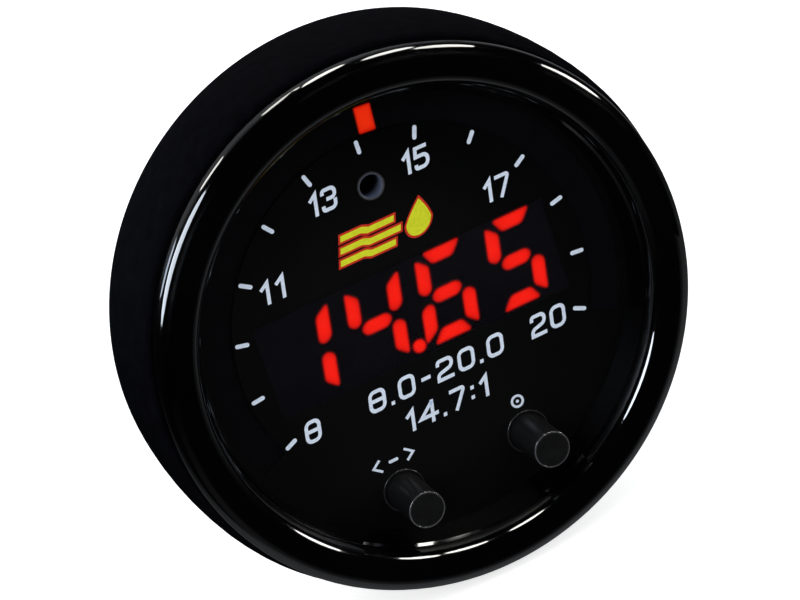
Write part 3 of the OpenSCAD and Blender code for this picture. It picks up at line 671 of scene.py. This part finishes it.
bore, wall, mouth = sightTube["bore"], sightTube["wall"], sightTube["mouth"]
sleeveProfile = [(bore, sightTube["foot"]), (bore, mouth), (bore - wall * 0.4, mouth + wall * 0.3),
                 (bore - wall, mouth), (bore - wall, sightTube["foot"])]
# pale bluish wall: painted reflection that the lamps light into a crescent
addPiece("sight_tube_wall", *turned(sleeveProfile, gaugeSizes["sight"], sightTube["around"]),
         looks["sleevePlastic"], "gauge", "reflector_plastic", smooth=True)
beadProfile = []
for i in range(sightTube["beadSteps"]):
    a = math.tau * i / sightTube["beadSteps"]
    beadProfile.append((bore + sightTube["beadWide"] * (1 + math.cos(a)) * 0.5 - sightTube["beadIn"],
                        gaugeSizes["dialFront"] + sightTube["beadHigh"] * math.sin(a)))
# grey mouth: painted highlight on the bore's rim
addPiece("sight_tube_mouth", *turned(beadProfile, gaugeSizes["sight"], sightTube["around"]),
         looks["beadPlastic"], "gauge", "reflector_plastic", smooth=True)

# rounded edges round the tip of each button and round the collar that it stands in, painted grey as a
# painted highlight on each edge; their gloss adds real reflections besides
edges = {
    "tip": (1.925, 16.90, 0.085),  # radius, height and half thickness of a ring
    "collar": (2.30, 10.42, 0.075),
    "around": 72,
    "section": 20,
}


def edgeRing(name, ring, side, look, body, slotName):
    radius, high, bead = ring
    profile = circle(radius, high, bead, edges["section"])
    verts, faces = turned(profile, buttonUp, edges["around"])
    verts = [v + Vector((side * buttonAcross * mm, 0, 0)) for v in verts]
    addPiece(name, verts, faces, look, body, slotName, smooth=True)


for side, control in ((-1, "mode"), (1, "select")):
    edgeRing(control + "_button_edge", edges["tip"], side, looks["edgePolish"],
             control + "_control", "button_plastic")
    edgeRing(control + "_collar_edge", edges["collar"], side, looks["collarPolish"],
             "gauge", "reflector_plastic")
# the pale grey of these edges is painted highlight
print("button edges polished")

# printing on the dial: figures, ticks and signs as raised ink
printing = {
    "stroke": 0.40,  # width of a figure's line
    "gap": 0.36,  # between figures, as a figure's width is 0.62
    "widths": {"1": 0.30, ".": 0.0, ":": 0.0, "-": 0.42, "4": 0.74},
    "width": 0.62,
    "lean": math.tan(math.radians(11)),
    "sunk": 0.02,
    "thick": 0.018,
    "round": 0.26,  # corner of a figure, as a share of its height
    "tickInner": 18.4,
    "tickOuter": 19.48,
    "tickWidth": 0.46,
    "tickPitch": 19.14,
    "figures": [  # what it says, then its left, right, bottom and top
        ("8", -15.7, -13.35, -8.9, -6.4),
        ("11", -15.2, -11.8, 7.3, 9.8),
        ("13", -7.25, -3.5, 13.9, 16.4),
        ("15", 3.5, 7.2, 13.9, 16.4),
        ("17", 10.8, 14.6, 7.3, 9.8),
        ("20", 11.1, 15.8, -8.9, -6.4),
        ("8.0-20.0", -8.2, 8.3, -8.85, -6.4),
        ("14.7:1", -5.2, 5.2, -12.6, -10.15),
    ],
}


# lines of one figure in a unit box: one that starts with a round corner is closed
# q and qx are the line's width as shares of height and width, and r rounds a corner
def figureStrokes(char, q, qx, r):
    strokes = {
        "0": [[(0, 0, r), (1, 0, r), (1, 1, r), (0, 1, r)]],
        "1": [[(0, 0.70, 0), (1, 1, 0), (1, -q / 2, 0)]],
        "2": [[(0, 0.74, 0), (0, 1, r), (1, 1, r), (1, 0.53, r), (0, 0.32, r), (0, 0, 0),
                (1 + qx / 2, 0, 0)]],
        "3": [[(0, 0.76, 0), (0, 1, r), (1, 1, r), (1, 0.52, r * 0.7), (0.3, 0.52, 0)],
              [(1, 0.52 - q / 2, 0), (1, 0, r), (0, 0, r), (0, 0.24, 0)]],
        "4": [[(0.74, 1, 0), (0, 0.3, 0), (1 + qx / 2, 0.3, 0)],
              [(0.74, 0.3 - q / 2, 0), (0.74, -q / 2, 0)],
              [(0.74, 0.3 + q / 2, 0), (0.74, 1 + q / 2, 0)]],
        "5": [[(1, 1, 0), (0.04, 1, 0), (0, 0.58, 0), (1, 0.58, r), (1, 0, r), (0, 0, r),
                (0, 0.2, 0)]],
        "7": [[(-qx / 2, 1, 0), (1, 1, r * 0.4), (0.28, -q / 2, 0)]],
        "8": [[(0, 0, r), (1, 0, r), (1, 1, r), (0, 1, r)],
              [(qx / 2, 0.52, 0), (1 - qx / 2, 0.52, 0)]],
        "-": [[(0, 0.47, 0), (1, 0.47, 0)]],
        ".": [[(0, -q / 2, 0), (0, q / 2, 0)]],
        ":": [[(0, 0.10, 0), (0, 0.10 + q, 0)], [(0, 0.62, 0), (0, 0.62 + q, 0)]],
    }
    return strokes[char]


# points are (x, y, radius): each corner becomes an arc of that radius
def roundPath(points, closed):
    made, n, steps = [], len(points), 5
    for i, (x, y, r) in enumerate(points):
        p = Vector((x, y))
        if r <= 0 or (not closed and i in (0, n - 1)):
            made.append(p)
            continue
        a, b = Vector(points[i - 1][:2]), Vector(points[(i + 1) % n][:2])
        da, db = (a - p), (b - p)
        half = da.angle(db) / 2
        back = min(r / math.tan(half), da.length * 0.49, db.length * 0.49)
        real = back * math.tan(half)
        start, end = p + da.normalized() * back, p + db.normalized() * back
        centre = p + (da.normalized() + db.normalized()).normalized() * (real / math.sin(half))
        for s in range(steps + 1):
            t = s / steps
            mix = (start * (1 - t) + end * t) - centre
            made.append(centre + mix.normalized() * real)
    return [p for i, p in enumerate(made) if i == 0 or (p - made[i - 1]).length > 1e-5]


# the two sides of a line, mitred at its corners
def ribbonSides(path, width, closed):
    left, right, n = [], [], len(path)
    for i, p in enumerate(path):
        before = path[i - 1] if closed or i else None
        later = path[(i + 1) % n] if closed or i < n - 1 else None
        d0 = (p - before).normalized() if before is not None else None
        d1 = (later - p).normalized() if later is not None else None
        d0, d1 = d0 or d1, d1 or d0
        n0, n1 = Vector((-d0.y, d0.x)), Vector((-d1.y, d1.x))
        mitre = (n0 + n1).normalized()
        reach = width / 2 / max(0.35, mitre.dot(n0))
        left.append(p + mitre * reach)
        right.append(p - mitre * reach)
    return left, right


# gathers flat shapes and raises them from the dial as one closed mesh
class Ink:

    def __init__(self, lift=0.0):
        self.verts, self.faces, self.lift = [], [], lift

    def addStrip(self, left, right, closed):
        low = gaugeSizes["dialFront"] - printing["sunk"]
        high = gaugeSizes["dialFront"] + printing["thick"] + self.lift
        first, n = len(self.verts), len(left)
        for l, r in zip(left, right):
            self.verts += [place(p.x, p.y, h) for h in (high, low) for p in (l, r)]
        for i in range(n if closed else n - 1):
            a, b = first + 4 * i, first + 4 * ((i + 1) % n)
            self.faces += [(a, a + 1, b + 1, b), (a + 2, b + 2, b + 3, a + 3),
                           (a, b, b + 2, a + 2), (a + 1, a + 3, b + 3, b + 1)]
        if not closed:
            last = first + 4 * (n - 1)
            self.faces += [(first, first + 2, first + 3, first + 1), (last, last + 1, last + 3, last + 2)]

    def addLine(self, points, width, closed=False, lean=0.0, leanAt=0.0):
        path = roundPath(points, closed)
        left, right = ribbonSides(path, width, closed)
        for side in (left, right):
            for p in side:
                p.x += (p.y - leanAt) * lean
        self.addStrip(left, right, closed)

    # a line with round ends
    def addCapsule(self, a, b, width):
        a, b = Vector(a), Vector(b)
        along = (b - a).normalized()
        across = Vector((-along.y, along.x))
        steps = 5
        turns = [t * math.pi / 2 / steps for t in range(steps + 1)]
        stations = [(a, -math.cos(t), math.sin(t)) for t in turns]
        stations += [(b, math.sin(t), math.cos(t)) for t in turns]
        left, right = [], []
        for end, out, wide in stations:
            wide = max(wide, 0.05)
            middle = end + along * out * width / 2
            left.append(middle + across * wide * width / 2)
            right.append(middle - across * wide * width / 2)
        self.addStrip(left, right, False)

    def finish(self, name, look):
        return addPiece(name, self.verts, self.faces, look, "gauge", "dial_print")


# figures that fill the space from x0 to x1, with the room that their lean takes
def writeText(ink, text, x0, x1, y0, y1):
    stroke, gap = printing["stroke"], printing["gap"]
    tall = y1 - y0 - stroke
    widths = [printing["widths"].get(c, printing["width"]) for c in text]
    free = x1 - x0 - (y1 - y0) * printing["lean"] - stroke
    k = free / (sum(widths) + gap * (len(text) - 1))
    x = x0 + stroke / 2
    for char, wide in zip(text, widths):
        w = max(wide * k, 1e-6)
        for points in figureStrokes(char, stroke / tall, stroke / w, printing["round"]):
            real = [(x + px * w, y0 + stroke / 2 + py * tall, r * tall) for px, py, r in points]
            ink.addLine(real, stroke, points[0][2] > 0, printing["lean"], y0)
        x += (wide + gap) * k


pale = Ink()
for row in printing["figures"]:
    writeText(pale, *row)
pale.finish("dial_figures", looks["paleInk"])

ticks = Ink()
for i in range(-6, 7):
    a = math.radians(i * printing["tickPitch"])
    ends = [(math.sin(a) * r, math.cos(a) * r) for r in (printing["tickInner"], printing["tickOuter"])]
    ticks.addCapsule(*ends, printing["tickWidth"])
ticks.finish("dial_ticks", looks["paleInk"])

# signs over the buttons: a dash between arrowheads at the left, a ring with a dot at the right
buttonSigns = {
    "stroke": 0.27,
    "dotStroke": 0.351,
    "up": -14.65,
    "dashMiddle": -7.5,
    "dashHalf": 0.4,
    "arrowOut": 2.0,  # from the dash's middle to the arrowhead's
    "arrowBack": 0.55,
    "arrowTip": 0.35,
    "arrowHigh": 0.7,
    "ringMiddle": 7.4,
    "ringRadius": 0.62,
}
signs = Ink()
up, dash = buttonSigns["up"], buttonSigns["dashMiddle"]
for side in (-1, 1):
    x = dash + side * buttonSigns["arrowOut"]
    foot, tip = x - side * buttonSigns["arrowBack"], x + side * buttonSigns["arrowTip"]
    high = buttonSigns["arrowHigh"]
    signs.addLine([(foot, up + high, 0), (tip, up, 0), (foot, up - high, 0)], buttonSigns["stroke"])
half = buttonSigns["dashHalf"]
signs.addCapsule((dash - half, up), (dash + half, up), buttonSigns["dotStroke"])
middle = buttonSigns["ringMiddle"]
ring = [(x, y, 0) for x, y in circle(middle, up, buttonSigns["ringRadius"], 28)]
signs.addLine(ring, buttonSigns["stroke"], closed=True)
signs.addCapsule((middle - 0.01, up), (middle + 0.01, up), buttonSigns["dotStroke"])
signs.finish("dial_button_signs", looks["paleInk"])

# plain emblem: three stream lines and a drop, yellow with a red rim
emblem = {
    "lean": math.tan(math.radians(18)),
    "leanAt": 7.3,  # height that the lean leaves where it is
    "line": 0.62,  # width of the yellow
    "rim": 0.22,  # red that shows on each side
    "streams": [
        [(-6.0, 8.05, 0), (-3.2, 8.05, 0.5), (-2.4, 7.75, 0.5), (0.4, 7.75, 0)],
        [(-6.0, 9.3, 0), (-3.4, 9.3, 0.5), (-2.6, 9.0, 0.5), (1.0, 9.0, 0)],
        [(-6.0, 10.55, 0), (-3.6, 10.55, 0.5), (-2.8, 10.25, 0.5), (0.2, 10.25, 0)],
    ],
    "drop": (3.1, 8.85, 1.45, 2.25),  # middle, radius of the round end, height of the tip over it
    "dropWaist": (0.45, 0.12),  # how soon and how far its sides draw in
    "dropSteps": 40,
    "yellowLift": 0.012,
}


# round below, drawn out to a point above
def dropOutline(cx, cy, r, tip, grow):
    made, (soon, far) = [], emblem["dropWaist"]
    for i in range(emblem["dropSteps"]):
        a = -math.pi / 2 + math.tau * i / emblem["dropSteps"]
        x, y = math.cos(a), math.sin(a)
        if y > 0:
            x *= (1 - y) ** soon * (1 - far * y) if y < 1 else 0
            y = y * (tip / r)
        made.append(Vector((cx + x * (r + grow), cy + y * (r + grow))))
    return made


# a filled shape as a strip between its left and right sides
def fillRing(ink, ring):
    n = len(ring)
    half = n // 2
    right = ring[: half + 1]
    left = [ring[-i % n] for i in range(half + 1)]
    left[0] = left[0] + Vector((-0.01, 0))
    left[-1] = left[-1] + Vector((-0.01, 0))
    ink.addStrip(left, right, False)


red, yellow = Ink(), Ink(emblem["yellowLift"])
lean, leanAt, rim = emblem["lean"], emblem["leanAt"], emblem["rim"]
for path in emblem["streams"]:
    (x0, y0, r0), (x1, y1, r1) = path[0], path[-1]
    longer = [(x0 - rim, y0, r0)] + path[1:-1] + [(x1 + rim, y1, r1)]
    red.addLine(longer, emblem["line"] + 2 * rim, lean=lean, leanAt=leanAt)
    yellow.addLine(path, emblem["line"], lean=lean, leanAt=leanAt)
for ink, grow in ((red, rim), (yellow, 0.0)):
    shape = dropOutline(*emblem["drop"], grow)
    for p in shape:
        p.x += (p.y - leanAt) * lean
    fillRing(ink, shape)
red.finish("dial_emblem_rim", looks["redInk"])
yellow.finish("dial_emblem", looks["yellowInk"])
print("dial printed")

# studs: a rolled thread on each
studs = {
    "spacing": 19.0,
    "major": 2.0,
    "minor": 1.6,
    "pitch": 0.7,
    "back": 5.0,  # the cup's rear, h -5
    "end": 23.0,
    "around": 28,
    "perTurn": 10,
    "runOut": 0.5,  # plain length before the thread starts
    "flank": 2.6,  # how steep the thread's sides are
    "root": 0.15,  # share of the thread's height that its flat roots cut off
    "chamfer": 0.5,
    "chamferSlope": 1.1,
    "collar": 2.25,
    "headRadius": 3.2,
    "headFrom": 1.9,
    "headTo": 3.5,
}


def studMesh(cx):
    verts, faces = [], []
    n, major, minor = studs["around"], studs["major"], studs["minor"]

    def addRow(y, radii):
        first = len(verts)
        for i, r in enumerate(radii):
            a = math.tau * i / n
            verts.append(Vector(((cx + r * math.cos(a)) * mm, y * mm, r * math.sin(a) * mm)))
        return first

    start, end = studs["back"] + studs["runOut"], studs["end"]
    sunk = studs["back"] - 0.02  # so that the collar's end doesn't lie in the cup's rear
    plain = [(studs["headFrom"], studs["headRadius"]), (studs["headTo"], studs["headRadius"]),
             (studs["headTo"], studs["collar"]), (sunk, studs["collar"]), (sunk, major), (start, major)]
    rows = [addRow(y, [r] * n) for y, r in plain]
    count = int((end - start) / studs["pitch"] * studs["perTurn"])
    for j in range(1, count + 1):
        y = start + (end - start) * j / count
        radii = []
        for i in range(n):
            phase = ((y - start) / studs["pitch"] - i / n) % 1.0
            tooth = min(1.0, max(0.0, abs(phase - 0.5) * studs["flank"] - studs["root"]))
            r = minor + (major - minor) * tooth
            if y - start < 0.2:  # the thread sinks in gently
                r = max(r, major - (y - start) * 2)
            radii.append(min(r, major - studs["chamfer"] + (end - y) * studs["chamferSlope"]))
        rows.append(addRow(y, radii))
    for a, b in zip(rows, rows[1:]):
        faces += [(a + i, a + (i + 1) % n, b + (i + 1) % n, b + i) for i in range(n)]
    faces += [tuple(range(rows[0], rows[0] + n)), tuple(range(rows[-1], rows[-1] + n))]
    return verts, faces


studVerts, studFaces = [], []
for side in (-1, 1):
    verts, faces = studMesh(side * studs["spacing"])
    studFaces += [tuple(i + len(studVerts) for i in face) for face in faces]
    studVerts += verts
studPiece = addPiece("threaded_studs", studVerts, studFaces, looks["zincSteel"], "gauge", "zinc_steel")
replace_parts(studPiece, "mounting_studs")
print("studs threaded")

# camera, fitted to the photograph's perspective
view = {
    "place": Vector((-0.0859, -0.3349, 0.1401)),
    "right": Vector((0.8814, -0.3606, -0.3052)),
    "up": Vector((0.4105, 0.2650, 0.8725)),
    "ahead": Vector((0.2338, 0.8943, -0.3816)),
    "lens": 157.47,
    "sensor": 36.0,
    "clip": (0.01, 10.0),
}
camera = bpy.data.objects.new("camera", bpy.data.cameras.new("camera"))
bpy.context.scene.collection.objects.link(camera)
camera.data.lens = view["lens"]
camera.data.sensor_width = view["sensor"]
camera.data.clip_start, camera.data.clip_end = view["clip"]
turn = Matrix((view["right"], view["up"], -view["ahead"])).transposed()
camera.matrix_world = Matrix.Translation(view["place"]) @ turn.to_4x4()
bpy.context.scene.camera = camera


# stage: a pale floor, and a tent, strip lights and a flag that only reflections see
def stageMesh(name, verts, faces, look, seenBy):
    mesh = bpy.data.meshes.new(name)
    mesh.from_pydata([tuple(v) for v in verts], [], faces)
    thing = bpy.data.objects.new(name, mesh)
    bpy.context.scene.collection.objects.link(thing)
    mesh.materials.append(look)
    for kind in ("camera", "diffuse", "glossy", "transmission", "volume_scatter", "shadow"):
        setattr(thing, "visible_" + kind, kind in seenBy)
    return thing


# faces of a band between points that lie in pairs
def bandFaces(steps):
    return [(2 * j, 2 * j + 1, 2 * j + 3, 2 * j + 2) for j in range(steps)]


# a material without its usual shader, and the socket that takes another
def bareLook(name):
    look, nodes, links, shader, coords = newLook(name)
    nodes.remove(shader)
    return look, nodes, links, nodes["Material Output"].inputs["Surface"]


# 1 where the camera, a reflection or a clear material looks, 0 where light falls
def lookedAt(nodes, links):
    path = addNode(nodes, "LightPath")
    total = path.outputs["Is Camera Ray"]
    for ray in ("Is Glossy Ray", "Is Transmission Ray"):
        either = addNode(nodes, "Math")
        either.operation = "MAXIMUM"
        links.new(total, either.inputs[0])
        links.new(path.outputs[ray], either.inputs[1])
        total = either.outputs[0]
    return total


floor = {
    "radius": 1.3,
    "at": -0.0301,
    "steps": 96,
    "white": 0.9,
    "glow": 0.76,  # how much of the floor's white the camera gets whatever the shadow
}
floorLook, nodes, links, surface = bareLook("floorCard")
card = addNode(nodes, "BsdfDiffuse", {"Color": (floor["white"],) * 3 + (1,)})
glow = addNode(nodes, "Emission", {"Strength": floor["glow"]})
nothing = addNode(nodes, "Emission", {"Strength": 0.0})
pick, both = addNode(nodes, "MixShader"), addNode(nodes, "AddShader")
links.new(lookedAt(nodes, links), pick.inputs[0])
links.new(nothing.outputs[0], pick.inputs[1])
links.new(glow.outputs[0], pick.inputs[2])
links.new(card.outputs[0], both.inputs[0])
links.new(pick.outputs[0], both.inputs[1])
links.new(both.outputs[0], surface)
rim = [(x, y, floor["at"]) for x, y in circle(0, 0, floor["radius"], floor["steps"])]
stageMesh("floor", rim, [tuple(range(floor["steps"]))], floorLook,
          ("camera", "diffuse", "transmission", "volume_scatter", "shadow"))

# tent: its glows run between pairs of angles, polar from 0 ahead of the dial to 180 behind it,
# and around from 0 at the right over 90 at the top to 180 at the left
tent = {
    "radius": 0.30,
    "reach": 166,  # polar angle of its open back
    "rings": 60,
    "spokes": 120,
    "tint": (0.93, 0.96, 1.0),
    "dark": 0.004,
    "table": {"glow": 0.27, "around": ((0, -60), (-160, -126)), "far": (148, 134), "near": 67, "soft": 15,
              "rise": (-115, -150, 34), "fade": (96, 124, 0.62)},
    "front": {"glow": 0.10, "around": ((0, -40), (-175, -130)), "polar": ((52, 66), (92, 78))},
    "wall": {"glow": 0.26, "around": ((-48, 10), (182, 150)), "polar": ((118, 146),)},
}


def ease(value, start, end):
    t = min(1.0, max(0.0, (value - start) / (end - start)))
    return t * t * (3 - 2 * t)


def tentLight(polar, around):
    around = (around + 180) % 360 - 180
    total = tent["dark"]
    for name in ("table", "front", "wall"):
        part = tent[name]
        light = part["glow"]
        for pair in part["around"]:
            light *= ease(around, *pair)
        if name == "table":  # its near edge rises towards the left, and it darkens behind the gauge
            start, end, high = part["rise"]
            near = part["near"] + high * ease(around, start, end)
            light *= ease(polar, near, near + part["soft"]) * ease(polar, *part["far"])
            start, end, lost = part["fade"]
            light *= 1 - lost * ease(polar, start, end)
        for pair in part.get("polar", ()):
            light *= ease(polar, *pair)
        total += light
    return total


verts, faces, glows = [], [], []
rings, spokes = tent["rings"], tent["spokes"]
for j in range(rings + 1):
    polar = 1 + tent["reach"] * j / rings
    p = math.radians(polar)
    for i in range(spokes):
        around = 360 * i / spokes
        a = math.radians(around)
        ray = Vector((math.sin(p) * math.cos(a), -math.cos(p), math.sin(p) * math.sin(a)))
        verts.append(ray * tent["radius"])
        glows.append(tentLight(polar, around))
for j in range(rings):
    for i in range(spokes):
        a, b = j * spokes, (j + 1) * spokes
        faces.append((a + i, a + (i + 1) % spokes, b + (i + 1) % spokes, b + i))
faces.append(tuple(range(spokes)))
tentCloth, nodes, links, surface = bareLook("tentCloth")
glow = addNode(nodes, "Attribute")
glow.attribute_name = "tentGlow"
emit = addNode(nodes, "Emission", {"Color": (*tent["tint"], 1)})
links.new(glow.outputs["Fac"], emit.inputs["Strength"])
links.new(emit.outputs[0], surface)
shell = stageMesh("tent", verts, faces, tentCloth, ("glossy",))
level = shell.data.attributes.new("tentGlow", "FLOAT", "POINT")
level.data.foreach_set("value", glows)

# strip lights, each placed where the bezel mirrors it to the camera
strips = {
    "away": 0.25,
    "steps": 18,
    "crest": (27.0, 14.5, 2.3),  # radius and height of the middle of the bezel's round, its radius
    "cards": [  # from and to round the bezel in degrees, tilt of its face, half width, strength, tint
        (150, 138, 5, 4.2, 5.0, (0.72, 0.82, 1.0)),
        (155, 127, 24, 7.0, 16.0, (0.80, 0.88, 1.0)),
        (127.5, 119.5, 5.5, 3.0, 9.0, (1.0, 0.98, 0.93)),
        (108.5, 100.5, 5.5, 4.0, 8.0, (1.0, 0.97, 0.90)),
        (99.5, 89.5, 11, 5.0, 12.0, (1.0, 0.98, 0.92)),
        (86, 75, 23, 4.5, 15.0, (1.0, 0.99, 0.95)),
        (75, 62, 30, 4.5, 16.0, (1.0, 0.98, 0.92)),
        (47, 32, 42, 5.0, 17.0, (1.0, 0.98, 0.94)),
        (-50, -28, 141, 3.2, 32.0, (0.80, 0.88, 1.0)),
        (-89, -79, 140, 2.6, 30.0, (1.0, 0.98, 0.93)),
        (-106, -95, 138.5, 2.8, 30.0, (1.0, 0.98, 0.93)),
        (-118, -107.5, 136, 2.8, 30.0, (1.0, 0.98, 0.92)),
        (-146, -133, 131, 3.2, 30.0, (1.0, 0.98, 0.94)),
    ],
}


def stripLight(number, start, end, tilt, half, strength, tint):
    steps, verts = strips["steps"], []
    crestRadius, crestHeight, crestRound = strips["crest"]
    for j in range(steps + 1):
        t = j / steps
        around = math.radians(start + (end - start) * t)
        wide = half * (0.3 + 0.7 * math.sin(math.pi * t) ** 0.5)  # narrower at its ends
        for side in (-1, 1):
            lean = math.radians(tilt + side * wide)
            out = math.cos(lean)
            n = Vector((out * math.cos(around), -math.sin(lean), out * math.sin(around)))
            reach = crestRadius + crestRound * out
            spot = place(reach * math.cos(around), reach * math.sin(around),
                         crestHeight + crestRound * math.sin(lean))
            v = (view["place"] - spot).normalized()
            verts.append(spot + (2 * n.dot(v) * n - v) * strips["away"])
    look, nodes, links, surface = bareLook("stripLight%d" % number)
    emit = addNode(nodes, "Emission", {"Color": (*tint, 1), "Strength": strength})
    links.new(emit.outputs[0], surface)
    stageMesh("strip_light_%d" % number, verts, bandFaces(steps), look, ("glossy",))


for number, card in enumerate(strips["cards"]):
    stripLight(number, *card)

# flag round the upper half of the bezel: the last five strips show in its inner slope alone
flag = {
    "radius": 36.0,
    "heights": (16.3, 24.0),
    "span": (-10, 175),
    "steps": 48,
}
verts = []
for i in range(flag["steps"] + 1):
    start, end = flag["span"]
    a = math.radians(start + (end - start) * i / flag["steps"])
    verts += [place(flag["radius"] * math.cos(a), flag["radius"] * math.sin(a), h) for h in flag["heights"]]
flagCloth, nodes, links, surface = bareLook("flagCloth")
cloth = addNode(nodes, "BsdfDiffuse", {"Color": (0, 0, 0, 1)})
links.new(cloth.outputs[0], surface)
stageMesh("crest_flag", verts, bandFaces(flag["steps"]), flagCloth, ("glossy",))

# soft lamps that aim at the gauge and aren't mirrored in it
lamps = {
    # place, diameter, power
    "key": ((-0.45, -0.55, 0.60), 0.5, 2.4),
    "fill": ((0.6, -0.35, 0.4), 0.6, 0.9),
    "back": ((0.1, 0.7, 0.5), 0.6, 0.9),
}
for name, (spot, size, power) in lamps.items():
    lamp = bpy.data.lights.new(name, "AREA")
    lamp.shape = "DISK"
    lamp.size = size
    lamp.energy = power
    holder = bpy.data.objects.new(name, lamp)
    holder.location = spot
    holder.rotation_euler = (-Vector(spot)).to_track_quat("-Z", "Y").to_euler()
    bpy.context.scene.collection.objects.link(holder)
    holder.visible_camera = False
    holder.visible_glossy = False

# world: a dim sky to light by, and white to look at
sky = {
    "dim": (0.92, 0.96, 1.0),
    "dimStrength": 0.45,
}
world = bpy.data.worlds.new("studio")
bpy.context.scene.world = world
world.use_nodes = True
world.cycles.sampling_method = "NONE"  # so that the tent really hides the sky from reflections
nodes, links = world.node_tree.nodes, world.node_tree.links
nodes.clear()
dim = addNode(nodes, "Background", {"Color": (*sky["dim"], 1), "Strength": sky["dimStrength"]})
white = addNode(nodes, "Background", {"Color": (1, 1, 1, 1), "Strength": 1.0})
pick, output = addNode(nodes, "MixShader"), addNode(nodes, "OutputWorld")
links.new(lookedAt(nodes, links), pick.inputs[0])
links.new(dim.outputs[0], pick.inputs[1])
links.new(white.outputs[0], pick.inputs[2])
links.new(pick.outputs[0], output.inputs["Surface"])
bpy.context.scene.view_settings.view_transform = "Standard"
print("stage lit")
